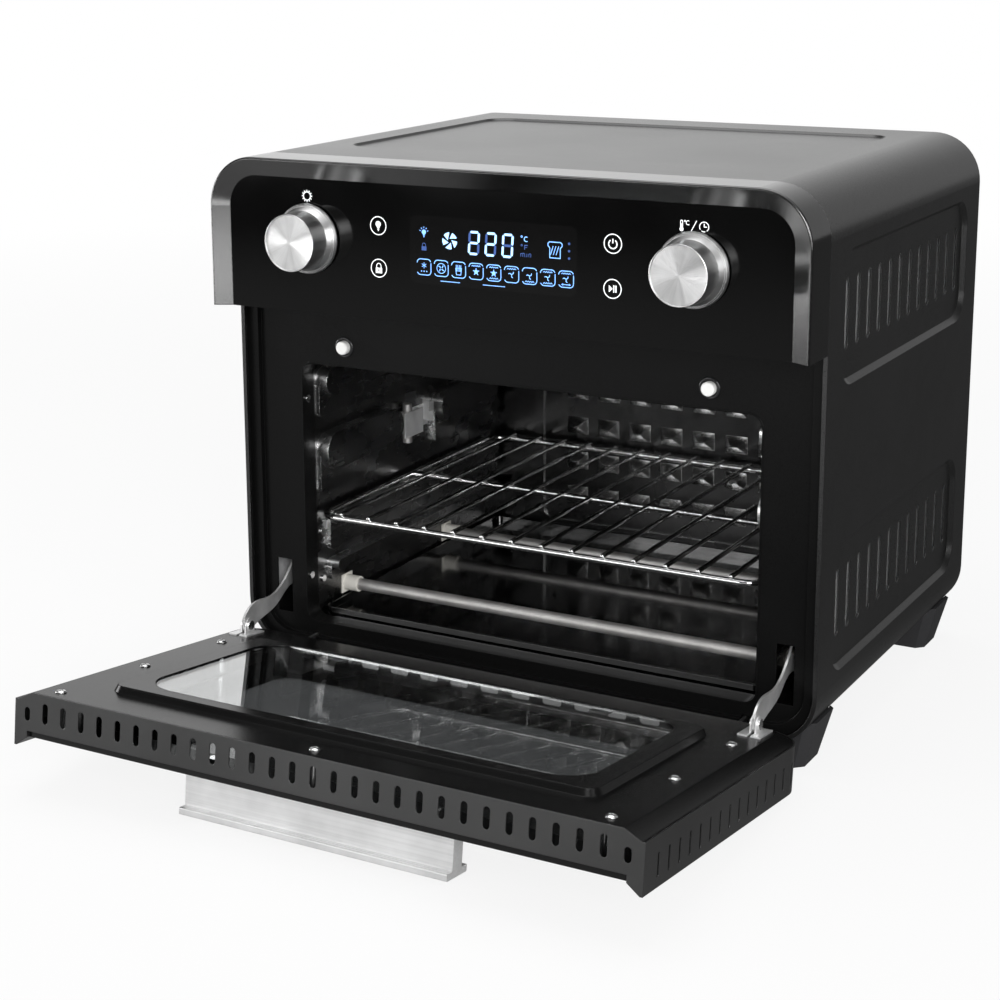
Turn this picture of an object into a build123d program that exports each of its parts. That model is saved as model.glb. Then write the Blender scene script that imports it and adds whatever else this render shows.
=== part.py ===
from build123d import *
from math import cos, radians, sin
import os

# Electric countertop oven with a drop-down glass door, in millimetres.
# While modelling, X runs to the right, Y to the back from the cabinet's front rim
# and Z up from the table. Every piece is moved at the end so that the origin lies
# under the middle of the part as it stands with its door open.

# Cabinet
cabinet_width = 400.0
cabinet_depth = 290.0
shell_height = 332.0
shell_wall = 0.8
shell_radius = 32.0
hem_width = 1.8
hem_depth = 1.2
lip_width = 23.0
lip_setback = 12.0
foot_height = 18.0
foot_inset = 27.0
front_foot_y = 28.0
sheet = 0.8
fit_gap = 0.1
slack = 0.3

# Pressed fields in the cabinet's sheet, and the linings behind the side vents
vent_length = 242.0
vent_height = 80.0
vent_corner = 18.0
vent_depth = 3.0
vent_y = 144.0
vent_levels = (96.0, 270.0)
vent_slot_height = 42.0
vent_slot_width = 6.0
vent_slot_pitch = 19.2
vent_slot_count = 12
vent_slot_rise = 1.5
lining_gap = 2.0
lining_margin = 5.0
lining_end_margin = 9.0
top_field_side = 50.0
top_field_length = 206.0
top_field_y = 153.0
top_field_depth = 1.5
top_field_corner = 16.0
base_slot_length = 40.0
base_slot_width = 5.0
base_slot_pitch = 16.0
base_slot_count = 6
base_slot_start = 30.0

# Back panel and the supply cord's bush
back_panel_y = 286.0
back_flange = 11.0
back_slot_length = 26.0
back_slot_width = 4.0
back_slot_pitch = 36.0
back_slot_rows = 3
back_slot_columns = 7
back_slot_row_pitch = 11.0
back_slot_levels = (96.0, 250.0, 300.0)
rear_screw_inset = 12.0
rear_screw_levels = (70.0, 184.0, 298.0)
rear_screw_radius = 1.8
screw_head_radius = 3.4
gland_inset = 80.0
gland_z = 70.0
gland_radius = 7.0
gland_bore = 3.6

# Front frame and cooking cavity
frame_band_y = 5.0
frame_band_width = 8.6
frame_field_y = 9.0
mouth_side = 41.0
mouth_bottom = 37.0
mouth_top = 213.0
mouth_corner = 8.0
mouth_rim_rise = 0.5
jamb_back_y = 22.0
jamb_rivet_y = 13.5
jamb_rivet_levels = (67.0, 188.0)
wall_rivet_y = 29.0
wall_rivet_levels = (60.0, 93.0)
rivet_head_radius = 2.4
rivet_head_height = 1.2
cavity_margin = 1.0
cavity_floor_z = 36.0
cavity_ceiling_z = 219.0
cavity_back_y = 272.0
cavity_wall = 1.0
arm_slot_half = 5.6
arm_slot_low = 40.0
arm_slot_high = 77.0
bumper_inset = 74.0
bumper_z = 226.0
bumper_radius = 4.3
bumper_stem = 2.0
bumper_height = 4.5

# Pressed bands on the cavity walls, which carry the rack
band_start_y = 25.0
low_band_start_y = 35.0
low_band_count = 2
band_end_y = 262.0
band_depth = 9.0
band_step = 3.0
rail_z = 107.0
sensor_band = 2
# Each band's top above the rack's seat, its shelf's height and its whole height
bands = ((-32.7, 7.0, 15.0), (0.0, 8.0, 26.0), (56.0, 24.7, 40.0), (100.8, 18.5, 32.5))
sensor_gap_start = 122.0
sensor_gap_end = 176.0
sensor_y = 135.0
sensor_z = 145.0
sensor_sheet = 0.8
sensor_radius = 3.3
sensor_half = 14.0

# Pressed back wall and the crumb tray
pyramid_columns = 8
pyramid_rows = 5
pyramid_pitch_x = 25.4
pyramid_pitch_z = 27.0
pyramid_width = 17.0
pyramid_height = 13.0
pyramid_depth = 6.0
pyramid_tip = 0.8
pyramid_low_z = 67.0
bead_side = 43.0
bead_height = 150.0
bead_thickness = 7.0
bead_depth = 2.0
bead_corner = 8.0
tray_gap = 3.0
tray_height = 6.0
tray_wall = 1.0
tray_corner = 6.0

# Control panel
panel_projection = 30.0
panel_bottom_z = 254.0
bezel_wall = 1.5
bezel_slope_width = 12.0
bezel_slope_depth = 5.5
bezel_edge_radius = 1.4
control_glass_thickness = 3.0
display_width = 116.0
display_height = 46.0
display_z = 299.5
board_side = 18.0
board_height = 76.0
board_thickness = 1.6
board_setback = 11.5
board_post_inset = 24.0
board_post_radius = 3.0
board_post_margin = 8.0
chip_places = (-60.0, -20.0, 30.0)
key_spacing = 156.6
key_row_pitch = 26.0
key_radius = 5.0

# Knobs
knob_side = 71.0
knob_z = 301.0
knob_face_radius = 17.8
knob_base_radius = 18.2
knob_skirt_radius = 22.0
knob_length = 21.2
knob_skirt_length = 6.2
knob_rim = 0.8
knob_dish = 0.5
knob_edge = 1.4
knob_shell = 2.2
knob_boss_wall = 3.0
knob_shaft_depth = 14.0
collar_radius = 20.5
collar_length = 1.0
shaft_radius = 3.0
shaft_grip = 0.02
bush_radius = 4.5
bush_length = 3.0
encoder_half = 7.0
encoder_floor = 2.0
running_gap = 0.05

# Door, measured from its hinge axis: s along the door, w towards its inner face
hinge_y = -9.0
hinge_z = 22.0
open_angle = 83.0
door_side_gap = 1.0
door_height = 229.0
door_corner = 28.0
door_wall = 0.8
door_front_w = -19.5
door_side_w = 8.0
door_field_w = 13.0
door_raise = 4.0
door_raise_draft = 2.0
door_ledge = 2.0
door_slope_width = 10.0
door_lip_width = 9.0
door_lip_edge = 1.5
door_glass_w = -14.0
door_glass_thickness = 4.0
door_glass_recess = 2.5
free_edge_front_w = -10.0
retainer_width = 30.0
retainer_low_s = 13.0
retainer_high_s = 199.0
retainer_corner = 12.0
window_side = 56.0
window_low_s = 50.0
window_high_s = 186.0
window_corner = 23.0
raised_side = 42.0
raised_low_s = 45.0
raised_high_s = 198.0
raised_corner = 10.0
inner_glass_thickness = 4.0
inner_glass_inset = 5.0
inner_glass_corner = 6.0
clip_half = 6.0
clip_thickness = 1.0
clip_x = 90.0
clip_inset = 40.0
door_screw_inset = 24.0
door_screw_top = 11.0
door_screw_levels = (140.0, 61.0)
spacer_radius = 4.0
free_slot_pitch = 13.1
free_slot_count = 30
free_slot_width = 4.0
free_slot_low_w = -4.0
free_slot_high_w = 8.0
end_slot_cut = 4.0
side_slot_pitch = 13.3
side_slot_count = 15
side_slot_width = 2.4
side_slot_start = 25.5
side_slot_low_w = -14.5
side_slot_high_w = -1.0
end_slot_count = 10
end_slot_pitch = 22.0
end_slot_w = -3.0
end_slot_length = 13.0
end_slot_width = 7.0
end_slot_corner = 2.0
notch_half = 6.0
notch_depth = 8.2

# Door handle
handle_width = 172.0
handle_s = 210.0
handle_web = 10.0
handle_reach = 26.0
handle_flange = 21.0
handle_flange_thickness = 4.0
handle_flange_edge = 0.6
handle_groove_steps = (1.2, 3.2)
handle_groove_half = 0.35
handle_groove_depth = 0.5
handle_screw_inset = 16.0
handle_screw_radius = 1.7
handle_screw_reach = 12.0
handle_screw_head = 2.4

# Hinges and the arms that hold the open door
bracket_inset = 47.0
hinge_plate = 2.0
hinge_side_gap = 5.0
hinge_pin_radius = 2.0
hinge_pin_head = 1.2
hinge_nose_radius = 4.5
hinge_arm_top = 6.0
hinge_arm_back = 30.0
hinge_foot_width = 14.0
hinge_foot_start = 14.0
tab_length = 34.0
arm_inset = 23.0
arm_thickness = 1.5
arm_tail_y = 74.0
arm_tail_top = 86.0
arm_tail_low = 56.0
arm_neck = ((22.0, 80.0), (28.0, 86.0))
arm_throat = (24.0, 56.0)
arm_upper_curve = ((-25.0, 57.0), (-7.7, 56.0), (8.0, 63.0))
arm_lower_curve = ((8.4, 55.0), (-2.0, 48.6), (-17.0, 44.6))
ear_thickness = 1.0
ear_gap = 0.3
ear_s = 29.0
ear_w = 18.5
ear_radius = 5.0
ear_base_half = 7.0
ear_base_low = 9.0
ear_base_high = 11.0
rivet_radius = 2.0
rivet_rim = 1.2
rivet_cap = 0.9
guide_pin_y = 66.0
guide_pin_z = 78.0
guide_pin_radius = 2.9
guide_pin_tip = 1.6
guide_clearance = 0.3
guide_offset = 4.0
guide_sheet = 1.5
guide_low_y = 12.0
guide_high_y = 16.0
guide_jog_z = 50.0
guide_foot_width = 12.0
guide_web_offset = 5.0
spring_radius = 3.5
spring_z = 62.0
spring_anchor_y = 172.0
anchor_half = 4.0
anchor_plate_width = 9.0
anchor_foot_width = 15.0
anchor_foot_length = 12.0
anchor_ear_low = 12.0
anchor_top = 6.0

# Wire rack
rack_side_gap = 4.5
rack_front_y = 20.0
rack_back_y = 262.0
rack_corner = 12.0
rack_wire_radius = 2.0
rack_bar_radius = 1.5
rack_bar_count = 14
rack_bar_margin = 17.7
rack_bar_overhang = 1.0
rack_cross_y = 140.0
weld_depth = 0.4

# Heating rods
rod_radius = 4.0
rod_inset = 10.0
rod_front_y = 58.0
rod_back_y = 195.0
lower_rod_z = 49.0
upper_rod_z = 212.0
ceramic_radius = 5.4
ceramic_reach = 10.0
ceramic_seat = 5.0
ceramic_flange = 2.0
plate_thickness = 0.8
plate_half = 6.5

# Convection fan above the cavity, its motor and the supply board beside it
fan_y = 145.0
fan_radius = 70.0
fan_low = 4.0
fan_height = 16.0
fan_sheet = 1.0
fan_blades = 9
fan_blade_start = 20.0
fan_hub_radius = 8.0
fan_hub_floor = 3.0
fan_shaft_radius = 3.0
fan_shaft_setback = 4.0
fan_chamber_radius = 80.0
fan_chamber_height = 27.0
fan_flange_width = 8.0
ceiling_slot_rings = ((30.0, 8), (52.0, 14))
ceiling_slot_length = 16.0
ceiling_slot_width = 5.0
motor_size = 60.0
motor_half_depth = 26.0
motor_height = 34.0
motor_gap = 10.0
motor_coil_radius = 11.0
motor_coil_length = 8.0
motor_foot_reach = 14.0
motor_foot_width = 12.0
motor_plate = 1.5
supply_board_gap = 8.0
supply_board_front_y = 70.0
supply_board_back_y = 210.0
supply_board_rise = 14.0
supply_post_inset = 5.0
supply_post_radius = 2.5

# Values worked out from the sizes above
half_width = cabinet_width / 2
mouth_width = cabinet_width - 2 * mouth_side
cavity_width = mouth_width + 2 * cavity_margin
door_width = cabinet_width - 2 * door_side_gap
window_width = door_width - 2 * window_side
raised_width = door_width - 2 * raised_side
knob_spacing = cabinet_width - 2 * knob_side
top_field_width = cabinet_width - 2 * top_field_side
bumper_x = half_width - bumper_inset
gland_x = half_width - gland_inset
rack_width = cavity_width - 2 * rack_side_gap
rack_bar_pitch = (rack_width - 2 * rack_bar_margin) / (rack_bar_count - 1)
rod_visible = mouth_width - 2 * rod_inset
bead_width = cavity_width - 2 * bead_side
shell_low_z = foot_height
shell_high_z = foot_height + shell_height
shell_mid_z = foot_height + shell_height / 2
base_low_z = shell_low_z + shell_wall
base_top_z = base_low_z + sheet
half_cavity = cavity_width / 2
ceramic_end_x = half_cavity + ceramic_reach
bracket_x = half_width - bracket_inset
tab_x = bracket_x - hinge_side_gap - hinge_plate
arm_x = half_width - arm_inset
guide_plate_x = arm_x + guide_offset
frame_back_y = frame_field_y + sheet
cavity_front_y = jamb_back_y
panel_front_y = -panel_projection
glass_front_y = panel_front_y + bezel_slope_depth
glass_back_y = glass_front_y + control_glass_thickness
board_front_y = glass_back_y + board_setback
board_back_y = board_front_y + board_thickness
board_z = (panel_bottom_z + shell_high_z) / 2
collar_front_y = glass_front_y - collar_length
knob_back_y = collar_front_y - slack
knob_front_y = knob_back_y - knob_length
door_half = door_width / 2
door_screw_x = door_half - door_screw_inset
handle_screw_x = handle_width / 2 - handle_screw_inset
retainer_w = free_edge_front_w + door_wall
fan_floor_z = cavity_ceiling_z + cavity_wall
chamber_top_z = fan_floor_z + fan_chamber_height
motor_low_z = chamber_top_z + motor_gap
ear_half = arm_thickness / 2 + ear_gap
sides = (-1, 1)


def block(x0, x1, y0, y1, z0, z1):
    return Pos((x0 + x1) / 2, (y0 + y1) / 2, (z0 + z1) / 2) * Box(abs(x1 - x0), y1 - y0, z1 - z0)


def rod_x(radius, x0, x1, y, z):
    return Pos((x0 + x1) / 2, y, z) * Rot(0, 90, 0) * Cylinder(radius, abs(x1 - x0))


def rod_y(radius, x, y0, y1, z):
    return Pos(x, (y0 + y1) / 2, z) * Rot(90, 0, 0) * Cylinder(radius, y1 - y0)


def rod_z(radius, x, y, z0, z1):
    return Pos(x, y, (z0 + z1) / 2) * Cylinder(radius, z1 - z0)


def front_shape(sketch, y0, y1):
    # A sketch in X and Z, made solid from y0 back to y1
    return Pos(0, y0, 0) * extrude(Plane.XZ * sketch, -(y1 - y0))


def side_shape(sketch, x0, x1):
    # A sketch in Y and Z, made solid from x0 to x1
    return Pos(x0, 0, 0) * extrude(Plane.YZ * sketch, x1 - x0)


def flat_shape(sketch, z0, z1):
    return Pos(0, 0, z0) * extrude(sketch, z1 - z0)


def front_loft(first, y0, second, y1):
    return loft([Pos(0, y0, 0) * (Plane.XZ * first), Pos(0, y1, 0) * (Plane.XZ * second)], ruled=True)


def turned(profile, x, z):
    # A closed profile of (radius, y) points, turned about an axis along Y
    face = make_face(Polyline(*profile, close=True))
    return Pos(x, 0, z) * revolve(face, Axis.Y)


def joined(shapes):
    whole = shapes[0]
    for shape in shapes[1:]:
        whole = whole + shape
    return whole


def group(shapes):
    solids = []
    for shape in shapes:
        solids.extend(shape.solids())
    return Compound(solids)


def mirrored(shape):
    return mirror(shape, Plane.YZ)


# Outlines in X and Z
def cabinet_outline(inset):
    return Pos(0, shell_mid_z) * RectangleRounded(
        cabinet_width - 2 * inset, shell_height - 2 * inset, shell_radius - inset
    )


def panel_outline(inset, bottom):
    below = Pos(0, bottom - shell_height / 2) * Rectangle(2 * cabinet_width, shell_height)
    return cabinet_outline(inset) - below


def slope_outline(inset):
    # A rounded rectangle whose lower end lies far below the control panel
    height = shell_high_z - panel_bottom_z + 2 * shell_radius + 60 - inset
    return Pos(0, shell_high_z - inset - height / 2) * RectangleRounded(
        cabinet_width - 2 * inset, height, shell_radius - inset
    )


def door_outline(inset, extra=0.0):
    # Round corners at the hinge end and square corners at the free edge
    height = door_height - 2 * inset + extra
    middle = hinge_z + inset + height / 2
    radius = door_corner - inset
    round_end = RectangleRounded(door_width - 2 * inset, height, radius)
    square_end = Pos(0, radius / 2) * Rectangle(door_width - 2 * inset, height - radius)
    return Pos(0, middle) * (round_end + square_end)


def side_press(side, level, low, high):
    # A pressed field's body between two depths below the cabinet's side
    outer = RectangleRounded(vent_length, vent_height, vent_corner)
    inner = RectangleRounded(
        vent_length - 2 * vent_depth, vent_height - 2 * vent_depth, vent_corner - vent_depth
    )
    faces = []
    for sketch, depth in ((outer, low), (inner, high)):
        faces.append(Pos(side * (half_width - depth), vent_y, level) * (Plane.YZ * sketch))
    return loft(faces, ruled=True)


def top_press(low, high):
    outer = RectangleRounded(top_field_width, top_field_length, top_field_corner)
    inner = RectangleRounded(
        top_field_width - 2 * top_field_depth,
        top_field_length - 2 * top_field_depth,
        top_field_corner - top_field_depth,
    )
    place = Pos(0, top_field_y, shell_high_z)
    return loft([place * Pos(0, 0, -low) * outer, place * Pos(0, 0, -high) * inner], ruled=True)


def outer_shell():
    tube = front_shape(cabinet_outline(0) - cabinet_outline(shell_wall), 0, cabinet_depth)
    hem = front_shape(cabinet_outline(shell_wall) - cabinet_outline(shell_wall + hem_width), 0, hem_depth)
    shell = tube + hem
    for side in sides:
        for level in vent_levels:
            shell = shell + side_press(side, level, shell_wall, shell_wall + vent_depth)
            shell = shell - side_press(side, level, 0, vent_depth)
    shell = shell + top_press(shell_wall, shell_wall + top_field_depth)
    shell = shell - top_press(0, top_field_depth)
    slot = side_shape(SlotOverall(vent_slot_height, vent_slot_width, rotation=90), -half_width, half_width)
    first = vent_y - vent_slot_pitch * (vent_slot_count - 1) / 2
    slots = []
    for level in vent_levels:
        for index in range(vent_slot_count):
            slots.append(Pos(0, first + index * vent_slot_pitch, level + vent_slot_rise) * slot)
    shell = shell - slots
    lip_end = half_width - shell_radius - lip_width
    shell = shell - block(-lip_end, lip_end, lip_setback, cabinet_depth, shell_low_z - 1, base_low_z + 1)
    for side in sides:
        shell = shell - hinge_notch(side, base_low_z, -1, hem_depth + 1)
    return shell


def hinge_notch(side, low, front, back):
    # Room for a hinge bracket through the cabinet's front sheets
    inner = bracket_x - hinge_plate / 2 - 1.2
    outer = bracket_x + hinge_plate / 2 + 1.2
    return block(side * inner, side * outer, front, back, low, hinge_z + hinge_arm_top + 0.6)


def side_linings():
    # Shallow pans that close the side vents from inside, held to the cabinet's side by their flanges
    linings = []
    outer = half_width - shell_wall
    x = half_width - shell_wall - vent_depth - lining_gap
    low = vent_levels[0] - vent_height / 2 - lining_margin
    high = vent_levels[1] + vent_height / 2 + lining_margin
    front = vent_y - vent_length / 2 - lining_end_margin
    back = vent_y + vent_length / 2 + lining_gap + sheet + lining_margin
    for side in sides:
        plate = block(side * (x - sheet), side * x, front, back, low, high)
        foot = block(side * (x - sheet), side * outer, front, back, low, low + sheet)
        head = block(side * (x - sheet), side * outer, front, back, high - sheet, high)
        linings.append(plate + foot + head)
    return group(linings)


def base_plate():
    half = half_width - shell_radius
    plate = block(-half, half, frame_band_y + sheet + slack, back_panel_y - fit_gap, base_low_z, base_top_z)
    slots = []
    for side in sides:
        for index in range(base_slot_count):
            slot = SlotOverall(base_slot_length, base_slot_width, rotation=90)
            place = Pos(side * (base_slot_start + base_slot_pitch * index), cabinet_depth / 2, 0)
            slots.append(place * flat_shape(slot, base_low_z, base_top_z))
    return plate - slots


def back_panel():
    panel = front_shape(cabinet_outline(shell_wall + fit_gap), back_panel_y, back_panel_y + sheet)
    edge = shell_wall + fit_gap
    rim = front_shape(
        cabinet_outline(edge) - cabinet_outline(edge + sheet), back_panel_y - back_flange, back_panel_y
    )
    low = shell_low_z + shell_radius
    rim = rim - block(-cabinet_width, cabinet_width, 0, cabinet_depth, 0, low)
    panel = panel + rim
    slot = front_shape(SlotOverall(back_slot_length, back_slot_width), back_panel_y, back_panel_y + sheet)
    slots = []
    for level in back_slot_levels:
        for column in range(back_slot_columns):
            x = (column - (back_slot_columns - 1) / 2) * back_slot_pitch
            for row in range(back_slot_rows):
                z = level + (row - (back_slot_rows - 1) / 2) * back_slot_row_pitch
                slots.append(Pos(x, 0, z) * slot)
    panel = panel - slots
    panel = panel - rod_y(gland_radius + fit_gap, gland_x, back_panel_y - 1, cabinet_depth, gland_z)
    for x, z in rear_screw_places():
        panel = panel - rod_y(rear_screw_radius + fit_gap, x, back_panel_y - 1, cabinet_depth, z)
    return panel


def rear_screw_places():
    x = half_width - rear_screw_inset
    return [(side * x, z) for side in sides for z in rear_screw_levels]


def cord_gland():
    # A strain-free bush for the supply cord, which the part leaves out
    front = back_panel_y - 6
    body = rod_y(gland_radius, gland_x, front, back_panel_y + sheet, gland_z)
    outer = rod_y(gland_radius + 2.5, gland_x, back_panel_y + sheet, cabinet_depth, gland_z)
    inner = rod_y(gland_radius + 2.0, gland_x, front - 1.5, back_panel_y - fit_gap, gland_z)
    gland = body + outer + inner
    return gland - rod_y(gland_bore, gland_x, front - 3, cabinet_depth + 1, gland_z)


def front_frame():
    edge = shell_wall + fit_gap
    band = edge + frame_band_width
    plate = front_shape(cabinet_outline(edge) - cabinet_outline(band), frame_band_y, frame_band_y + sheet)
    wall = front_shape(cabinet_outline(band - sheet) - cabinet_outline(band), frame_band_y, frame_back_y)
    field = front_shape(cabinet_outline(band - sheet), frame_field_y, frame_back_y)
    mouth_z = (mouth_bottom + mouth_top) / 2
    mouth_height = mouth_top - mouth_bottom
    opening = Pos(0, mouth_z) * RectangleRounded(mouth_width, mouth_height, mouth_corner)
    rim = Pos(0, mouth_z) * RectangleRounded(
        mouth_width + 2 * sheet, mouth_height + 2 * sheet, mouth_corner + sheet
    )
    frame = plate + wall + field
    frame = frame - front_shape(opening, frame_field_y - 1, frame_back_y + 1)
    # The jamb runs back to a flange that the cavity's walls stand against
    flange_low = cavity_floor_z - cavity_wall
    flange_high = cavity_ceiling_z + cavity_wall
    flange = Pos(0, (flange_low + flange_high) / 2) * Rectangle(
        cavity_width + 2 * cavity_wall, flange_high - flange_low
    )
    frame = frame + front_shape(rim - opening, frame_field_y - mouth_rim_rise, jamb_back_y)
    frame = frame + front_shape(flange - opening, jamb_back_y - sheet, jamb_back_y)
    through = frame_back_y + 1
    for side in sides:
        slot = block(
            side * (arm_x - arm_slot_half), side * (arm_x + arm_slot_half),
            frame_field_y - 1, through, arm_slot_low, arm_slot_high,
        )
        frame = frame - slot - hinge_notch(side, shell_low_z, 0, through)
        frame = frame - rod_y(bumper_stem, side * bumper_x, 0, through, bumper_z)
        for x, z in board_post_places():
            frame = frame - rod_y(1.6, x, 0, through, z)
    return frame


def door_bumpers():
    bumpers = []
    for side in sides:
        head = rod_y(bumper_radius, 0, frame_field_y - bumper_height, frame_field_y, 0)
        head = fillet(head.edges().sort_by(Axis.Y)[0], 1.2)
        stem = rod_y(bumper_stem - fit_gap, 0, frame_field_y, frame_back_y + 1, 0)
        cap = rod_y(bumper_stem + 0.6, 0, frame_back_y + fit_gap, frame_back_y + 1.6, 0)
        bumpers.append(Pos(side * bumper_x, 0, bumper_z) * (head + stem + cap))
    return group(bumpers)


def band_part(y0, y1, band, inset):
    # A pressed band, or its hollow when inset: a shelf along its top and a shallower skirt
    rise, shelf_height, height = band
    top = rail_z - rack_wire_radius - slack + rise
    x0 = -half_cavity - 2 * inset
    x1 = -half_cavity - inset
    low = top - shelf_height
    shelf = block(x0, x1 + band_depth, y0 + inset, y1 - inset, low + inset, top - inset)
    shelf = fillet(shelf.edges().filter_by(Axis.X), shelf_height / 2 - 0.5 - inset)
    skirt = block(x0, x1 + band_step, y0 + inset, y1 - inset, top - height + inset, top - shelf_height / 2)
    skirt = fillet(skirt.edges().filter_by(Axis.X), band_step - inset)
    return shelf + skirt


def band_spans(index):
    # The lower bands start further back and one band leaves room for the temperature sensor
    start = low_band_start_y if index < low_band_count else band_start_y
    if index == sensor_band:
        return [(start, sensor_gap_start), (sensor_gap_end, band_end_y)]
    return [(start, band_end_y)]


def cavity_side_wall():
    # The left wall; the right one mirrors it
    wall = block(
        -half_cavity - cavity_wall, -half_cavity, cavity_front_y, cavity_back_y,
        cavity_floor_z - cavity_wall, cavity_ceiling_z + cavity_wall,
    )
    for index, band in enumerate(bands):
        for y0, y1 in band_spans(index):
            wall = wall + band_part(y0, y1, band, 0)
            wall = wall - band_part(y0, y1, band, cavity_wall)
    for y in (rod_front_y, rod_back_y):
        for z in (lower_rod_z, upper_rod_z):
            wall = wall - rod_x(ceramic_radius + fit_gap, -half_cavity - 2, -half_cavity + 1, y, z)
    return wall


def cavity_floor():
    return block(
        -half_cavity, half_cavity, cavity_front_y, cavity_back_y, cavity_floor_z - cavity_wall, cavity_floor_z
    )


def cavity_back_wall():
    wall = block(
        -half_cavity, half_cavity, cavity_back_y, cavity_back_y + cavity_wall,
        cavity_floor_z - cavity_wall, cavity_ceiling_z,
    )
    pyramids = []
    base = Plane.XZ * Rectangle(pyramid_width, pyramid_height)
    tip = Plane.XZ * Rectangle(pyramid_width / 3, pyramid_tip)
    pyramid = loft([base, Pos(0, -pyramid_depth, 0) * tip], ruled=True)
    for column in range(pyramid_columns):
        for row in range(pyramid_rows):
            x = (column - (pyramid_columns - 1) / 2) * pyramid_pitch_x
            z = pyramid_low_z + row * pyramid_pitch_z
            pyramids.append(Pos(x, cavity_back_y, z) * pyramid)
    middle = pyramid_low_z + pyramid_pitch_z * (pyramid_rows - 1) / 2
    outer = Pos(0, middle) * RectangleRounded(
        bead_width + 2 * bead_thickness, bead_height + 2 * bead_thickness, bead_corner + 6
    )
    inner = Pos(0, middle) * RectangleRounded(bead_width, bead_height, bead_corner)
    bead = front_shape(outer - inner, cavity_back_y - bead_depth, cavity_back_y)
    return wall + bead + pyramids


def cavity_ceiling():
    plate = block(
        -half_cavity, half_cavity, cavity_front_y, cavity_back_y,
        cavity_ceiling_z, cavity_ceiling_z + cavity_wall,
    )
    slots = []
    for ring, count in ceiling_slot_rings:
        for index in range(count):
            angle = 360 * index / count
            x = ring * cos(radians(angle))
            y = fan_y + ring * sin(radians(angle))
            slot = SlotOverall(ceiling_slot_length, ceiling_slot_width, rotation=angle)
            slots.append(Pos(x, y, 0) * flat_shape(slot, cavity_ceiling_z - 1, cavity_ceiling_z + 2))
    return plate - slots


def crumb_tray():
    half = half_cavity - tray_gap
    front = cavity_front_y + tray_gap
    back = cavity_back_y - tray_gap
    tray = block(-half, half, front, back, cavity_floor_z, cavity_floor_z + tray_height)
    tray = fillet(tray.edges().filter_by(Axis.Z), tray_corner)
    hollow = block(
        -half + tray_wall, half - tray_wall, front + tray_wall, back - tray_wall,
        cavity_floor_z + tray_wall, cavity_floor_z + tray_height + 1,
    )
    hollow = fillet(hollow.edges().filter_by(Axis.Z), tray_corner - tray_wall)
    return tray - hollow


# Heating rods and what holds them
def heaters(z):
    end = ceramic_end_x - ceramic_seat
    return group([rod_x(rod_radius, -end, end, y, z) for y in (rod_front_y, rod_back_y)])


def heater_ceramics():
    ends = []
    start = rod_visible / 2
    for z in (lower_rod_z, upper_rod_z):
        for y in (rod_front_y, rod_back_y):
            for side in sides:
                body = rod_x(ceramic_radius, side * start, side * ceramic_end_x, y, z)
                seat = half_cavity + cavity_wall
                flange = rod_x(
                    ceramic_radius + ceramic_flange, side * seat, side * (seat + ceramic_flange), y, z
                )
                plate = block(
                    side * (half_cavity - plate_thickness), side * half_cavity,
                    y - plate_half, y + plate_half, z - plate_half, z + plate_half,
                )
                bore = rod_x(
                    rod_radius + fit_gap, side * (start - 1), side * (ceramic_end_x - ceramic_seat), y, z
                )
                ends.append(body + flange + plate - bore)
    return group(ends)


def sensor_bracket():
    # A bowed clip on the left wall that holds the temperature sensor
    x = -half_cavity
    y = sensor_y + sensor_half
    bow = x + sensor_sheet + 2 * sensor_radius + 1
    tip = bow + 0.6
    foot = block(x, x + sensor_sheet, sensor_y - 12, y + 20, sensor_z - 8, sensor_z + 8)
    arm = block(x, bow, y, y + sensor_sheet, sensor_z - 8, sensor_z + 8)
    face = block(bow - sensor_sheet, bow, sensor_y - 10, y + sensor_sheet, sensor_z - 9, sensor_z + 9)
    hook = block(x, tip, y + 14, y + 14 + sensor_sheet, sensor_z - 4, sensor_z + 11)
    hook_top = block(tip - sensor_sheet, tip, y + 8, y + 14 + sensor_sheet, sensor_z + 4, sensor_z + 11)
    return foot + arm + face + hook + hook_top


def sensor_probe():
    # The sensor's metal bulb, clipped behind the bracket's face
    x = -half_cavity + sensor_sheet + sensor_radius + fit_gap
    return rod_z(sensor_radius, x, sensor_y, sensor_z - sensor_half, sensor_z + sensor_half)


# Control panel
def control_bezel():
    body = front_shape(panel_outline(0, panel_bottom_z), panel_front_y, 0)
    rim = body.edges().filter_by(lambda edge: edge.center().Y < panel_front_y + 0.01)
    rim = rim.filter_by(lambda edge: edge.center().Z > panel_bottom_z + 1)
    body = fillet(rim, bezel_edge_radius)
    hollow = front_shape(panel_outline(bezel_wall, panel_bottom_z + bezel_wall), glass_back_y, 1)
    pocket = front_shape(panel_outline(bezel_slope_width, 0), panel_front_y - 1, glass_back_y + 1)
    slope = front_loft(
        slope_outline(bezel_edge_radius), panel_front_y, slope_outline(bezel_slope_width), glass_front_y
    )
    ahead = front_shape(slope_outline(bezel_edge_radius), panel_front_y - 1, panel_front_y)
    floor = block(
        -half_width + bezel_slope_width, half_width - bezel_slope_width,
        glass_back_y, 0, panel_bottom_z, panel_bottom_z + bezel_wall,
    )
    return body - hollow - pocket - slope - ahead + floor


def control_glass():
    inset = bezel_slope_width + fit_gap
    glass = front_shape(panel_outline(inset, panel_bottom_z), glass_front_y, glass_back_y)
    for side in sides:
        x = side * knob_spacing / 2
        glass = glass - rod_y(shaft_radius + 0.5, x, glass_front_y - 1, glass_back_y + 1, knob_z)
    return glass


def display_module():
    half = display_width / 2
    low = display_z - display_height / 2
    return block(-half, half, glass_back_y, board_front_y, low, low + display_height)


def board_post_places():
    x = half_width - board_post_inset
    rise = board_height / 2 - board_post_margin
    return [(side * x, board_z + step * rise) for side in sides for step in sides]


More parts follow.
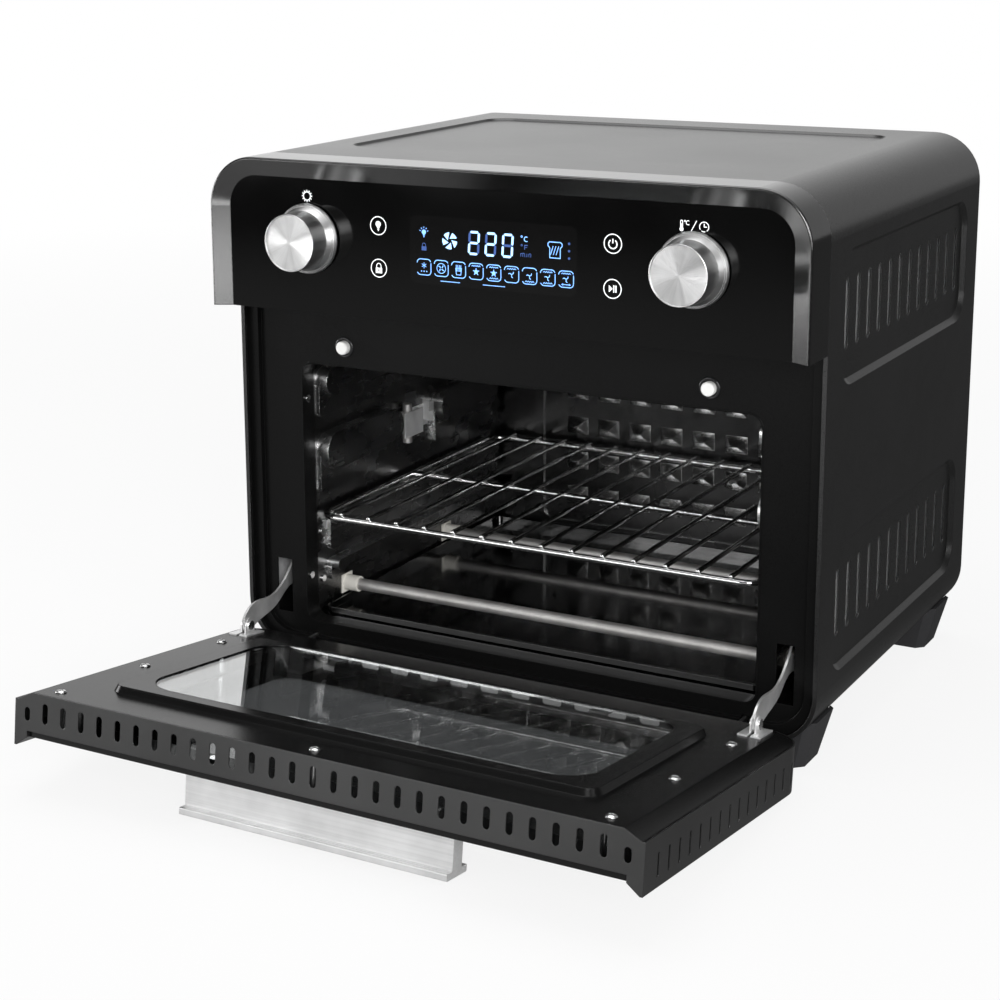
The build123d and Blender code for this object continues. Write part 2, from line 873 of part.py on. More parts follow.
def control_board():
    # The circuit board with the four posts that hold it to the front frame
    half = half_width - board_side
    low = board_z - board_height / 2
    board = block(-half, half, board_front_y, board_back_y, low, low + board_height)
    posts = [rod_y(board_post_radius, x, board_back_y, frame_field_y, z) for x, z in board_post_places()]
    chips = []
    for x in chip_places:
        chips.append(block(x, x + 14, board_back_y, board_back_y + 2.5, board_z - 8, board_z + 8))
    return board + posts + chips


def touch_springs():
    # The four touch keys' contacts between the board and the glass
    pads = []
    for side in sides:
        for row in sides:
            z = display_z + row * key_row_pitch / 2
            pads.append(rod_y(key_radius, side * key_spacing / 2, glass_back_y, board_front_y, z))
    return group(pads)


def encoders():
    bodies = []
    for side in sides:
        x = side * knob_spacing / 2
        half = encoder_half
        bush_back = glass_back_y + bush_length
        body = block(x - half, x + half, bush_back, board_front_y, knob_z - half, knob_z + half)
        bush = rod_y(bush_radius, x, glass_back_y, bush_back, knob_z)
        bore = rod_y(shaft_radius + running_gap, x, glass_back_y - 1, board_front_y - encoder_floor, knob_z)
        bodies.append(body + bush - bore)
    return group(bodies)


def knob_collars():
    collars = []
    for side in sides:
        x = side * knob_spacing / 2
        collar = rod_y(collar_radius, x, collar_front_y, glass_front_y, knob_z)
        bore = rod_y(shaft_radius + running_gap, x, collar_front_y - 1, glass_front_y + 1, knob_z)
        collars.append(collar - bore)
    return group(collars)


def knob(x):
    skirt_y = knob_back_y - knob_skirt_length
    rim = knob_face_radius - knob_rim
    face = knob_front_y + knob_dish
    boss = shaft_radius + knob_boss_wall
    profile = [
        (0, face),
        (rim, face),
        (rim, knob_front_y),
        (knob_face_radius, knob_front_y),
        (knob_base_radius, skirt_y),
        (knob_skirt_radius, knob_back_y - knob_edge),
        (knob_skirt_radius, knob_back_y),
        (knob_base_radius - knob_shell, knob_back_y),
        (knob_base_radius - knob_shell, knob_front_y + 2 * knob_shell),
        (boss, knob_front_y + 2 * knob_shell),
        (boss, knob_back_y),
        (0, knob_back_y),
    ]
    bore = rod_y(shaft_radius + shaft_grip, x, knob_back_y - knob_shaft_depth, knob_back_y + 1, knob_z)
    return turned(profile, x, knob_z) - bore


def knob_shaft(x):
    back = board_front_y - encoder_floor - slack
    return rod_y(shaft_radius, x, knob_back_y - knob_shaft_depth, back, knob_z)


# Wire rack
def wire_rack():
    half = rack_width / 2
    path = Pos(0, (rack_front_y + rack_back_y) / 2, rail_z) * RectangleRounded(
        rack_width, rack_back_y - rack_front_y, rack_corner
    )
    wire = path.wire()
    start = Plane(origin=wire @ 0, z_dir=wire % 0)
    rim = sweep(start * Circle(rack_wire_radius), path=wire)
    cross = rod_x(rack_wire_radius, -half + weld_depth, half - weld_depth, rack_cross_y, rail_z)
    bar_z = rail_z + rack_wire_radius + rack_bar_radius - weld_depth
    bars = []
    for index in range(rack_bar_count):
        x = (index - (rack_bar_count - 1) / 2) * rack_bar_pitch
        front = rack_front_y - rack_bar_overhang
        bar = rod_y(rack_bar_radius, x, front, rack_back_y + rack_bar_overhang, bar_z)
        bars.append(bar + Pos(x, front, bar_z) * Sphere(rack_bar_radius))
    return rim + cross + bars


# Door. Each piece is drawn with the door closed, where s runs up and w runs back.
def door_y(w):
    return hinge_y + w


def door_z(s):
    return hinge_z + s


def door_block(x0, x1, s0, s1, w0, w1):
    return block(x0, x1, door_y(w0), door_y(w1), door_z(s0), door_z(s1))


def door_rod(radius, x, s, w0, w1):
    return rod_y(radius, x, door_y(w0), door_y(w1), door_z(s))


def door_prism(sketch, w0, w1):
    return front_shape(sketch, door_y(w0), door_y(w1))


def opened(shape):
    return Pos(0, hinge_y, hinge_z) * Rot(open_angle, 0, 0) * Pos(0, -hinge_y, -hinge_z) * shape


def on_open_door(s, w):
    # Where a point of the door lies in Y and Z once it is open
    angle = radians(open_angle)
    return (hinge_y + w * cos(angle) - s * sin(angle), hinge_z + w * sin(angle) + s * cos(angle))


def free_edge_flange():
    slope_start = door_half - door_ledge - door_slope_width
    slope_end = door_half - door_ledge
    lip = door_half - door_lip_width
    points = [
        (-slope_start, door_field_w), (slope_start, door_field_w), (slope_end, door_side_w),
        (door_half, door_side_w), (door_half, door_front_w), (door_half - door_lip_edge, door_front_w),
        (lip, door_glass_w), (lip, free_edge_front_w), (-lip, free_edge_front_w), (-lip, door_glass_w),
        (-door_half + door_lip_edge, door_front_w), (-door_half, door_front_w), (-door_half, door_side_w),
        (-slope_end, door_side_w),
    ]
    outline = make_face(Polyline(*points, close=True))
    flange = Pos(0, hinge_y, 0) * flat_shape(outline, door_z(door_height - door_wall), door_z(door_height))
    slots = []
    for index in range(free_slot_count):
        x = (index - (free_slot_count - 1) / 2) * free_slot_pitch
        end = index in (0, free_slot_count - 1)
        high = free_slot_high_w - (end_slot_cut if end else 0)
        length = high - free_slot_low_w
        slot = SlotOverall(length, free_slot_width, rotation=90)
        place = Pos(x, door_y((high + free_slot_low_w) / 2), 0)
        slots.append(place * flat_shape(slot, door_z(door_height - 3), door_z(door_height + 1)))
    return flange - slots


def door_notch(side, w0, w1):
    middle = (bracket_x + tab_x) / 2
    return door_block(side * (middle - notch_half), side * (middle + notch_half), -1, notch_depth, w0, w1)


def door_shell():
    walls = door_prism(door_outline(0) - door_outline(door_wall), door_front_w, door_side_w)
    walls = walls - door_block(-door_half, door_half, door_height - door_wall, door_height + 1, -40, 40)
    lip = door_prism(door_outline(0) - door_outline(door_lip_width, 60), door_front_w, free_edge_front_w)
    bevel = front_loft(
        door_outline(door_lip_edge, 60), door_y(door_front_w),
        door_outline(door_lip_width, 60), door_y(door_glass_w),
    )
    shell = walls + (lip - bevel)
    inner_edge = door_half - door_lip_width
    lip_low = door_height - door_lip_width - 1
    shell = shell - door_block(-inner_edge, inner_edge, lip_low, door_height + 1, -40, 40)
    slots = []
    for index in range(side_slot_count):
        s = side_slot_start + index * side_slot_pitch
        length = side_slot_high_w - side_slot_low_w
        slot = side_shape(SlotOverall(length, side_slot_width), -door_half - 1, door_half + 1)
        slots.append(Pos(0, door_y((side_slot_high_w + side_slot_low_w) / 2), door_z(s)) * slot)
    shell = shell - [slot - door_block(-inner_edge, inner_edge, 0, door_height, -40, 40) for slot in slots]
    ends = []
    for index in range(end_slot_count):
        x = (index - (end_slot_count - 1) / 2) * end_slot_pitch
        outline = RectangleRounded(end_slot_length, end_slot_width, end_slot_corner)
        slot = flat_shape(outline, door_z(-1), door_z(door_wall + 1))
        ends.append(Pos(x, door_y(end_slot_w), 0) * slot)
    shell = shell - ends
    for side in sides:
        shell = shell - door_notch(side, -8.0, door_side_w + 1)
    return shell + free_edge_flange()


def pan(shift):
    # The inner frame's raised body, or its hollow when shifted towards the outer glass
    low = door_side_w - shift
    high = door_field_w - shift
    wide = door_outline(door_ledge, 60)
    narrow = door_outline(door_ledge + door_slope_width, 60)
    return front_loft(wide, door_y(low), narrow, door_y(high))


def raised_centre(shift):
    middle = (raised_low_s + raised_high_s) / 2
    length = raised_high_s - raised_low_s
    base = Pos(0, door_z(middle)) * RectangleRounded(raised_width, length, raised_corner)
    draft = 2 * door_raise_draft
    top = Pos(0, door_z(middle)) * RectangleRounded(
        raised_width - draft, length - draft, raised_corner - door_raise_draft
    )
    return front_loft(base, door_y(door_field_w - shift), top, door_y(door_field_w + door_raise - shift))


def window(inset):
    middle = (window_low_s + window_high_s) / 2
    width = window_width - 2 * inset
    length = window_high_s - window_low_s - 2 * inset
    return Pos(0, door_z(middle)) * RectangleRounded(width, length, window_corner - inset)


def door_screw_places():
    top = door_height - door_screw_top
    places = [(0.0, top)]
    for side in sides:
        for s in (top, *door_screw_levels):
            places.append((side * door_screw_x, s))
    return places


def door_inner_frame():
    flat = door_prism(door_outline(door_wall + fit_gap, 60), door_side_w - door_wall, door_side_w)
    frame = flat + pan(0) + raised_centre(0)
    frame = frame - pan(door_wall) - raised_centre(door_wall)
    free_end = door_height - door_wall - fit_gap
    frame = frame - door_block(-door_half, door_half, free_end, door_height + 80, -40, 40)
    frame = frame - door_prism(window(0), 0, 30)
    for side in sides:
        frame = frame - door_notch(side, -8.0, door_field_w + 1)
    for x, s in door_screw_places():
        frame = frame - door_rod(1.7, x, s, door_field_w - 2, door_field_w + 1)
    return frame


def outer_glass():
    inset = door_lip_width + fit_gap
    glass = door_prism(door_outline(inset, 60), door_glass_w, door_glass_w + door_glass_thickness)
    top = door_height - door_glass_recess
    glass = glass - door_block(-door_half, door_half, top, door_height + 80, -40, 40)
    for side in sides:
        glass = glass - door_rod(handle_screw_radius + 0.6, side * handle_screw_x, handle_s, -30, 0)
    return glass


def outer_glass_frame():
    # The ring behind the outer glass that the spacers and the handle screws bear on
    middle = (retainer_low_s + retainer_high_s) / 2
    inside = Pos(0, door_z(middle)) * RectangleRounded(
        door_width - 2 * retainer_width, retainer_high_s - retainer_low_s, retainer_corner
    )
    outline = door_outline(door_wall + fit_gap) - inside
    ring = door_prism(outline, free_edge_front_w, retainer_w)
    for side in sides:
        ring = ring - door_rod(handle_screw_radius + 0.6, side * handle_screw_x, handle_s, -30, 0)
        ring = ring - door_notch(side, -12.0, 0)
    return ring


def inner_glass():
    middle = (raised_low_s + raised_high_s) / 2
    length = raised_high_s - raised_low_s - 2 * inner_glass_inset + 1
    outline = Pos(0, door_z(middle)) * RectangleRounded(
        raised_width - 2 * inner_glass_inset, length, inner_glass_corner
    )
    top = door_field_w + door_raise - door_wall
    return door_prism(outline, top - inner_glass_thickness, top)


def inner_glass_clips():
    # Flat clips screwed under the field, with a tongue under the glass
    clips = []
    w1 = door_field_w - door_wall
    w0 = w1 - clip_thickness
    half = raised_width / 2
    for s in (raised_low_s + clip_inset, raised_high_s - clip_inset):
        for side in sides:
            low, high = s - clip_half, s + clip_half
            clips.append(door_block(side * (half - 12), side * (half + 8), low, high, w0, w1))
    for side in sides:
        x0, x1 = side * clip_x - clip_half, side * clip_x + clip_half
        clips.append(door_block(x0, x1, raised_high_s - 12, raised_high_s + 7, w0, w1))
        clips.append(door_block(x0, x1, raised_low_s - 8, raised_low_s + 12, w0, w1))
    return group(clips)


def door_spacers():
    posts = []
    top = door_field_w - door_wall
    for x, s in door_screw_places():
        post = door_rod(spacer_radius, x, s, retainer_w, top) - door_rod(1.6, x, s, top - 10, top + 1)
        posts.append(post)
    return group(posts)


def screw(x, s, w, shank, length):
    head = door_rod(screw_head_radius, x, s, w, w + 1.7)
    head = fillet(head.edges().sort_by(Axis.Y)[-1], 1.2)
    cross = door_block(x - 2, x + 2, s - 0.4, s + 0.4, w + 0.8, w + 3)
    other = door_block(x - 0.4, x + 0.4, s - 2, s + 2, w + 0.8, w + 3)
    return head - cross - other + door_rod(shank, x, s, w - length, w)


def door_screws():
    return group([screw(x, s, door_field_w, 1.5, 8) for x, s in door_screw_places()])


def door_handle():
    half = handle_width / 2
    web_end = door_glass_w - handle_reach + handle_flange_thickness
    front = door_glass_w - handle_reach
    web = door_block(-half, half, handle_s - handle_web / 2, handle_s + handle_web / 2, web_end, door_glass_w)
    low = handle_s - handle_flange / 2
    flange = door_block(-half, half, low, low + handle_flange, front, web_end)
    flange = fillet(flange.edges().filter_by(Axis.X), handle_flange_edge)
    handle = web + flange
    for side in sides:
        for step in handle_groove_steps:
            s = handle_s + side * (handle_web / 2 + step)
            low, high = s - handle_groove_half, s + handle_groove_half
            groove_w = web_end - handle_groove_depth
            handle = handle - door_block(-half - 1, half + 1, low, high, groove_w, web_end + 0.5)
        bore = handle_screw_radius + running_gap
        reach = door_glass_w - handle_screw_reach - 3
        handle = handle - door_rod(bore, side * handle_screw_x, handle_s, reach, door_glass_w + 1)
    return handle


def handle_screws():
    screws = []
    for side in sides:
        x = side * handle_screw_x
        head = door_rod(spacer_radius, x, handle_s, retainer_w, retainer_w + handle_screw_head)
        shank = door_rod(handle_screw_radius, x, handle_s, door_glass_w - handle_screw_reach, retainer_w)
        screws.append(head + shank)
    return group(screws)


# Hinges: fixed brackets with pins, and tabs on the door
def hinge_brackets():
    brackets = []
    for side in sides:
        x0 = bracket_x - hinge_plate / 2
        x1 = bracket_x + hinge_plate / 2
        nose = rod_x(hinge_nose_radius, x0, x1, hinge_y, hinge_z)
        arm = block(x0, x1, hinge_y, hinge_arm_back, base_top_z, hinge_z + hinge_arm_top)
        foot = block(
            x0 - hinge_foot_width, x1, hinge_foot_start, hinge_arm_back, base_top_z, base_top_z + hinge_plate
        )
        nose_corner = block(x0 - 1, x1 + 1, hinge_y - 9, hinge_y, hinge_z - 9, hinge_z + 9)
        plate = (arm - nose_corner) + nose + foot
        plate = plate - rod_x(hinge_pin_radius + fit_gap / 2, x0 - 1, x1 + 1, hinge_y, hinge_z)
        brackets.append(plate if side > 0 else mirrored(plate))
    return group(brackets)


def hinge_pins():
    pins = []
    outer = bracket_x + hinge_plate / 2
    inner = tab_x - hinge_plate / 2 - 1
    for side in sides:
        pin = rod_x(hinge_pin_radius, inner, outer, hinge_y, hinge_z)
        head = rod_x(hinge_pin_radius + hinge_pin_head, outer, outer + hinge_pin_head, hinge_y, hinge_z)
        pins.append(pin + head if side > 0 else mirrored(pin + head))
    return group(pins)


def door_hinge_tabs():
    tabs = []
    x0 = tab_x - hinge_plate / 2
    x1 = tab_x + hinge_plate / 2
    for side in sides:
        nose = rod_x(hinge_nose_radius, x0, x1, door_y(0), door_z(0))
        plate = door_block(x0, x1, 0, tab_length, -hinge_nose_radius, 6)
        back = retainer_w + hinge_plate
        foot = door_block(x0 - hinge_foot_width, x1, notch_depth + 4, tab_length, retainer_w, back)
        notch_edge = (bracket_x + tab_x) / 2 - notch_half - fit_gap
        seat = door_block(x0 - hinge_foot_width, notch_edge, 2 * door_wall, tab_length, retainer_w, back)
        leg = door_block(x0, x1, notch_depth + 4, tab_length, retainer_w, -hinge_nose_radius)
        tab = plate + nose + foot + seat + leg
        tab = tab - rod_x(hinge_pin_radius + running_gap, x0 - 1, x1 + 1, door_y(0), door_z(0))
        tabs.append(tab if side > 0 else mirrored(tab))
    return group(tabs)


# Arms, one each side, that follow the door while a fixed pin runs in their slot
def arm_ears():
    ears = []
    for side in sides:
        base = door_block(
            arm_x - ear_base_half, arm_x + ear_base_half, ear_s - ear_base_low, ear_s + ear_base_high,
            door_field_w, door_field_w + ear_thickness,
        )
        groove = door_block(
            arm_x - ear_half, arm_x + ear_half, ear_s - ear_base_low - 1, ear_s + ear_base_high + 1,
            door_field_w - 1, door_field_w + ear_thickness + 2,
        )
        pieces = [base - groove]
        for x0 in (arm_x - ear_half - ear_thickness, arm_x + ear_half):
            round_end = rod_x(ear_radius, x0, x0 + ear_thickness, door_y(ear_w), door_z(ear_s))
            root = door_block(
                x0, x0 + ear_thickness, ear_s - ear_radius, ear_s + ear_radius, door_field_w, ear_w
            )
            pieces.append(round_end + root)
        hole = rod_x(rivet_radius + running_gap, arm_x - 8, arm_x + 8, door_y(ear_w), door_z(ear_s))
        ear = joined(pieces) - hole
        ears.append(ear if side > 0 else mirrored(ear))
    return group(ears)


def ear_rivets():
    rivets = []
    reach = ear_half + ear_thickness
    for side in sides:
        pin = rod_x(rivet_radius, arm_x - reach, arm_x + reach, door_y(ear_w), door_z(ear_s))
        rim = rivet_radius + rivet_rim
        inner = rod_x(rim, arm_x - reach - rivet_cap, arm_x - reach, door_y(ear_w), door_z(ear_s))
        outer = rod_x(rim, arm_x + reach, arm_x + reach + rivet_cap, door_y(ear_w), door_z(ear_s))
        rivet = pin + inner + outer
        rivets.append(rivet if side > 0 else mirrored(rivet))
    return group(rivets)


def arm_slot_path():
    # The guide pin's way through the arm: an arc of the hinge-to-ear radius
    ear_y, ear_z = on_open_door(ear_s, ear_w)
    centre_y = guide_pin_y + ear_y - hinge_y
    centre_z = guide_pin_z + ear_z - hinge_z
    points = []
    for share in (0, 0.5, 1):
        angle = radians(open_angle * (1 - share))
        y = ear_w * cos(angle) - ear_s * sin(angle)
        z = ear_w * sin(angle) + ear_s * cos(angle)
        points.append((centre_y - y, centre_z - z))
    return ThreePointArc(*points)


def arm():
    ear_y, ear_z = on_open_door(ear_s, ear_w)
    nose_y = ear_y - ear_radius
    upper = Spline((nose_y, ear_z + ear_radius), *arm_upper_curve, arm_neck[0])
    lower = Spline(arm_throat, *arm_lower_curve, (ear_y, ear_z - ear_radius))
    tail = Polyline(*arm_neck, (arm_tail_y, arm_tail_top), (arm_tail_y, arm_tail_low), arm_throat)
    low_y, low_z = ear_y - ear_radius * cos(radians(45)), ear_z - ear_radius * sin(radians(45))
    nose = ThreePointArc((ear_y, ear_z - ear_radius), (low_y, low_z), (nose_y, ear_z))
    front = Line((nose_y, ear_z), (nose_y, ear_z + ear_radius))
    outline = make_face([upper, tail, lower, nose, front])
    slot = SlotArc(arm_slot_path(), 2 * (guide_pin_radius + guide_clearance))
    hole = Pos(ear_y, ear_z) * Circle(rivet_radius + running_gap)
    x0 = arm_x - arm_thickness / 2
    return side_shape(outline - slot - hole, x0, x0 + arm_thickness)


def arm_guides():
    guides = []
    y0 = guide_pin_y - guide_low_y
    y1 = guide_pin_y + guide_high_y
    web_x = arm_x - guide_web_offset
    for side in sides:
        outer_x = guide_plate_x + guide_sheet
        foot = block(
            web_x - guide_foot_width, web_x + guide_sheet, y0, y1, base_top_z, base_top_z + guide_sheet
        )
        web = block(web_x, web_x + guide_sheet, y0, y1, base_top_z, guide_jog_z)
        shelf = block(web_x, outer_x, y0, y1, guide_jog_z - guide_sheet, guide_jog_z)
        plate = block(guide_plate_x, outer_x, y0, y1, guide_jog_z - guide_sheet, guide_pin_z + 8)
        pin = rod_x(guide_pin_radius, arm_x - guide_pin_tip, guide_plate_x, guide_pin_y, guide_pin_z)
        guide = foot + web + shelf + plate + pin
        guides.append(guide if side > 0 else mirrored(guide))
    return group(guides)


def door_springs():
    springs = []
    for side in sides:
        springs.append(
            rod_y(spring_radius, side * arm_x, arm_tail_y + slack, spring_anchor_y - slack, spring_z)
        )
    return group(springs)


def spring_anchors():
    anchors = []
    for side in sides:
        y = spring_anchor_y
        top = spring_z + anchor_top
        outer = arm_x - anchor_half
        foot_back = y + anchor_foot_length
        foot = block(outer - anchor_foot_width, outer, y, foot_back, base_top_z, base_top_z + guide_sheet)
        plate = block(outer - anchor_plate_width, outer, y, y + guide_sheet, base_top_z, top)
        ear = block(outer, arm_x + anchor_half, y, y + guide_sheet, spring_z - anchor_ear_low, top)
        anchor = foot + plate + ear
        anchors.append(anchor if side > 0 else mirrored(anchor))
    return group(anchors)


# Convection fan, its chamber above the ceiling and its motor
def fan_housing():
    cup = rod_z(fan_chamber_radius, 0, fan_y, fan_floor_z, chamber_top_z)
    hollow = rod_z(fan_chamber_radius - fan_sheet, 0, fan_y, fan_floor_z - 1, chamber_top_z - fan_sheet)
    flange = rod_z(fan_chamber_radius + fan_flange_width, 0, fan_y, fan_floor_z, fan_floor_z + fan_sheet)
    hole = rod_z(fan_shaft_radius + 3, 0, fan_y, fan_floor_z, chamber_top_z + 1)
    return flange + cup - hollow - hole


def convection_fan():
    low = fan_floor_z + fan_low
    disc_low = low + fan_height - fan_sheet
    disc = rod_z(fan_radius, 0, fan_y, disc_low, low + fan_height)
    hub = rod_z(fan_hub_radius, 0, fan_y, low, low + fan_height)
    blade = block(fan_blade_start, fan_radius - 2, -fan_sheet / 2, fan_sheet / 2, low, disc_low)
    blades = []
    for index in range(fan_blades):
        blades.append(Pos(0, fan_y, 0) * Rot(0, 0, 360 * index / fan_blades) * blade)
    bore = rod_z(fan_shaft_radius + shaft_grip, 0, fan_y, low + fan_hub_floor, low + fan_height + 1)
    return disc + hub + blades - bore


def fan_shaft():
    low = fan_floor_z + fan_low + fan_hub_floor
    return rod_z(fan_shaft_radius, 0, fan_y, low, motor_low_z + motor_height - fan_shaft_setback)


def motor_bracket():
    x = motor_size / 2 + motor_foot_reach
    y0, y1 = fan_y - motor_foot_reach, fan_y + motor_foot_reach
    plate = block(-x, x, y0, y1, motor_low_z - motor_plate, motor_low_z)
    bracket = plate - rod_z(fan_shaft_radius + 2, 0, fan_y, motor_low_z - 3, motor_low_z + 1)
    for side in sides:
        leg = block(side * (x - motor_plate), side * x, y0, y1, chamber_top_z, motor_low_z)
        foot_x = side * (x - motor_foot_width)
        foot = block(foot_x, side * x, y0, y1, chamber_top_z, chamber_top_z + motor_plate)
        bracket = bracket + leg + foot
    return bracket


def fan_motor():
    half = motor_size / 2
    top = motor_low_z + motor_height
    stack = block(-half, half, fan_y - motor_half_depth, fan_y + motor_half_depth, motor_low_z, top)
    coil = rod_x(motor_coil_radius, half, half + motor_coil_length, fan_y, motor_low_z + motor_height / 2)
    bore_top = top - fan_shaft_setback + slack
    bore = rod_z(fan_shaft_radius + running_gap, 0, fan_y, motor_low_z - 1, bore_top)
    return stack + coil - bore


def power_board():
    # The relay and supply board on four posts beside the fan
    z = fan_floor_z + supply_board_rise
    top = z + board_thickness
    x0 = fan_chamber_radius + fan_flange_width + supply_board_gap
    x1 = half_cavity - supply_board_gap
    y0, y1 = supply_board_front_y, supply_board_back_y
    board = block(x0, x1, y0, y1, z, top)
    posts = []
    for x in (x0 + supply_post_inset, x1 - supply_post_inset):
        for y in (y0 + supply_post_inset, y1 - supply_post_inset):
            posts.append(rod_z(supply_post_radius, x, y, fan_floor_z, z))
    relays = [block(x0 + 6, x0 + 22, y0 + y, y0 + y + 20, top, z + 17) for y in (14.0, 40.0, 66.0)]
    transformer = block(x1 - 28, x1 - 4, y0 + 30, y0 + 70, top, z + 26)
    return board + posts + relays + [transformer]


def foot(side, y):
    # A tapered foot whose top follows the shell's round lower edge
    sketch_low = Rectangle(32, 32)
    sketch_high = Rectangle(44, 40)
    sketch_low = chamfer(sketch_low.vertices(), 5)
    sketch_high = chamfer(sketch_high.vertices(), 6)
    x = half_width - foot_inset
    body = loft([Pos(x - 1, y, 0) * sketch_low, Pos(x + 1, y, foot_height + 12) * sketch_high], ruled=True)
    body = body - front_shape(cabinet_outline(-fit_gap), -1, cabinet_depth + 1)
    return body if side > 0 else mirrored(body)


def feet(y):
    return group([foot(side, y) for side in sides])


def cavity_screws():
    # Rivet heads on the jamb and on the cavity's side walls
    heads = []
    places = [(mouth_width / 2, jamb_rivet_y, z) for z in jamb_rivet_levels]
    places += [(half_cavity, wall_rivet_y, z) for z in wall_rivet_levels]
    for side in sides:
        for x, y, z in places:
            heads.append(rod_x(rivet_head_radius, side * (x - rivet_head_height), side * x, y, z))
    return group(heads)


def rear_screws():
    screws = []
    for x, z in rear_screw_places():
        head = rod_y(screw_head_radius, x, back_panel_y + sheet, back_panel_y + sheet + 1.8, z)
        screws.append(head + rod_y(rear_screw_radius, x, back_panel_y - 6, back_panel_y + sheet, z))
    return group(screws)


open_front_y = on_open_door(door_height, door_front_w)[0]
origin_y = (cabinet_depth + open_front_y) / 2

fixed_pieces = {
    "outer_shell": outer_shell(),
    "side_linings": side_linings(),
    "base_plate": base_plate(),
    "back_panel": back_panel(),
    "cord_gland": cord_gland(),
    "rear_screws": rear_screws(),
    "front_frame": front_frame(),
    "door_bumpers": door_bumpers(),
    "cavity_left_wall": cavity_side_wall(),
    "cavity_right_wall": mirrored(cavity_side_wall()),
    "cavity_floor": cavity_floor(),
    "cavity_ceiling": cavity_ceiling(),
    "cavity_back_wall": cavity_back_wall(),
    "cavity_screws": cavity_screws(),
    "crumb_tray": crumb_tray(),
    "lower_heaters": heaters(lower_rod_z),
    "upper_heaters": heaters(upper_rod_z),
    "heater_ceramics": heater_ceramics(),
    "sensor_bracket": sensor_bracket(),
    "sensor_probe": sensor_probe(),
    "control_bezel": control_bezel(),
    "control_glass": control_glass(),
    "display_module": display_module(),
    "control_board": control_board(),
    "touch_springs": touch_springs(),
    "encoders": encoders(),
    "knob_collars": knob_collars(),
    "fan_housing": fan_housing(),
    "motor_bracket": motor_bracket(),
    "fan_motor": fan_motor(),
    "power_board": power_board(),
    "front_feet": feet(front_foot_y),
    "rear_feet": feet(cabinet_depth - front_foot_y),
    "hinge_brackets": hinge_brackets(),
    "hinge_pins": hinge_pins(),
    "arm_guides": arm_guides(),
    "door_springs": door_springs(),
    "spring_anchors": spring_anchors(),
    "right_arm": arm(),
    "left_arm": mirrored(arm()),
    "wire_rack": wire_rack(),
    "function_knob": knob(-knob_spacing / 2),
    "function_shaft": knob_shaft(-knob_spacing / 2),
    "temperature_knob": knob(knob_spacing / 2),
    "temperature_shaft": knob_shaft(knob_spacing / 2),
    "convection_fan": convection_fan(),
    "fan_shaft": fan_shaft(),
}

door_pieces = {
    "door_shell": door_shell(),
    "door_inner_frame": door_inner_frame(),
    "outer_glass": outer_glass(),
    "outer_glass_frame": outer_glass_frame(),
    "inner_glass": inner_glass(),
    "inner_glass_clips": inner_glass_clips(),
    "door_spacers": door_spacers(),
    "door_screws": door_screws(),
    "door_handle": door_handle(),
    "handle_screws": handle_screws(),
    "door_hinge_tabs": door_hinge_tabs(),
    "arm_ears": arm_ears(),
    "ear_rivets": ear_rivets(),
}

os.makedirs("parts", exist_ok=True)
to_origin = Pos(0, -origin_y, 0)
for name, shape in fixed_pieces.items():
    export_step(to_origin * shape, f"parts/{name}.step")
for name, shape in door_pieces.items():
    export_step(to_origin * opened(shape), f"parts/{name}.step")
print("origin behind the front rim:", round(origin_y, 3))
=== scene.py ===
import bpy
from math import cos, pi, radians, sin
from mathutils import Matrix, Vector


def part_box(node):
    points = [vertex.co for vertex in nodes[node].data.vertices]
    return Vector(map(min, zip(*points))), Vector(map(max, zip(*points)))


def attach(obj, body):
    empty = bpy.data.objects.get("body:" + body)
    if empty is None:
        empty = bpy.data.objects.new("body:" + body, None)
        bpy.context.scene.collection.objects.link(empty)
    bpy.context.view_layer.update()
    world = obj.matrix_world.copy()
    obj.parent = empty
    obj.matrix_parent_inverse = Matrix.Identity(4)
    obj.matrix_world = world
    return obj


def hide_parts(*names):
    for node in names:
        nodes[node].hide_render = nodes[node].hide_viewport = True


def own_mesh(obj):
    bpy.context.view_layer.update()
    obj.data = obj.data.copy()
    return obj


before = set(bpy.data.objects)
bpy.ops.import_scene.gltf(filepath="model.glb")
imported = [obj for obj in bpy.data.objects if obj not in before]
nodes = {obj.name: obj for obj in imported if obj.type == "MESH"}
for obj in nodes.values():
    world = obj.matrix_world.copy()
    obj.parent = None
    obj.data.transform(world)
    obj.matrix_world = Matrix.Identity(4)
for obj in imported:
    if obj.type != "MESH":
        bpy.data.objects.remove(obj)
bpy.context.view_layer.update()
print("frame loaded:", len(nodes), "nodes")


# small helpers for node trees
class Wire:
    def __init__(self, tree, socket):
        self.tree = tree
        self.socket = socket

    def math(self, operation, other=None, swapped=False):
        first, second = (other, self) if swapped else (self, other)
        values = {0: first} if second is None else {0: first, 1: second}
        return addNode(self.tree, "ShaderNodeMath", {"operation": operation}, values)

    def __add__(self, other):
        return self.math("ADD", other)

    def __radd__(self, other):
        return self.math("ADD", other, True)

    def __sub__(self, other):
        return self.math("SUBTRACT", other)

    def __rsub__(self, other):
        return self.math("SUBTRACT", other, True)

    def __mul__(self, other):
        return self.math("MULTIPLY", other)

    def __rmul__(self, other):
        return self.math("MULTIPLY", other, True)

    def __lt__(self, other):
        return self.math("LESS_THAN", other)

    def __gt__(self, other):
        return self.math("GREATER_THAN", other)


def addNode(tree, kind, settings=None, values=None, out=0):
    # settings first, then the sockets: a value, a wire, or a list of wires for a socket that takes several
    node = tree.nodes.new(kind)
    for name, value in (settings or {}).items():
        setattr(node, name, value)
    for name, value in (values or {}).items():
        socket = node.inputs[name]
        if isinstance(value, Wire):
            tree.links.new(value.socket, socket)
        elif isinstance(value, list) and isinstance(value[0], Wire):
            for wire in value:
                tree.links.new(wire.socket, socket)
        else:
            socket.default_value = value
    return Wire(tree, node.outputs[out])


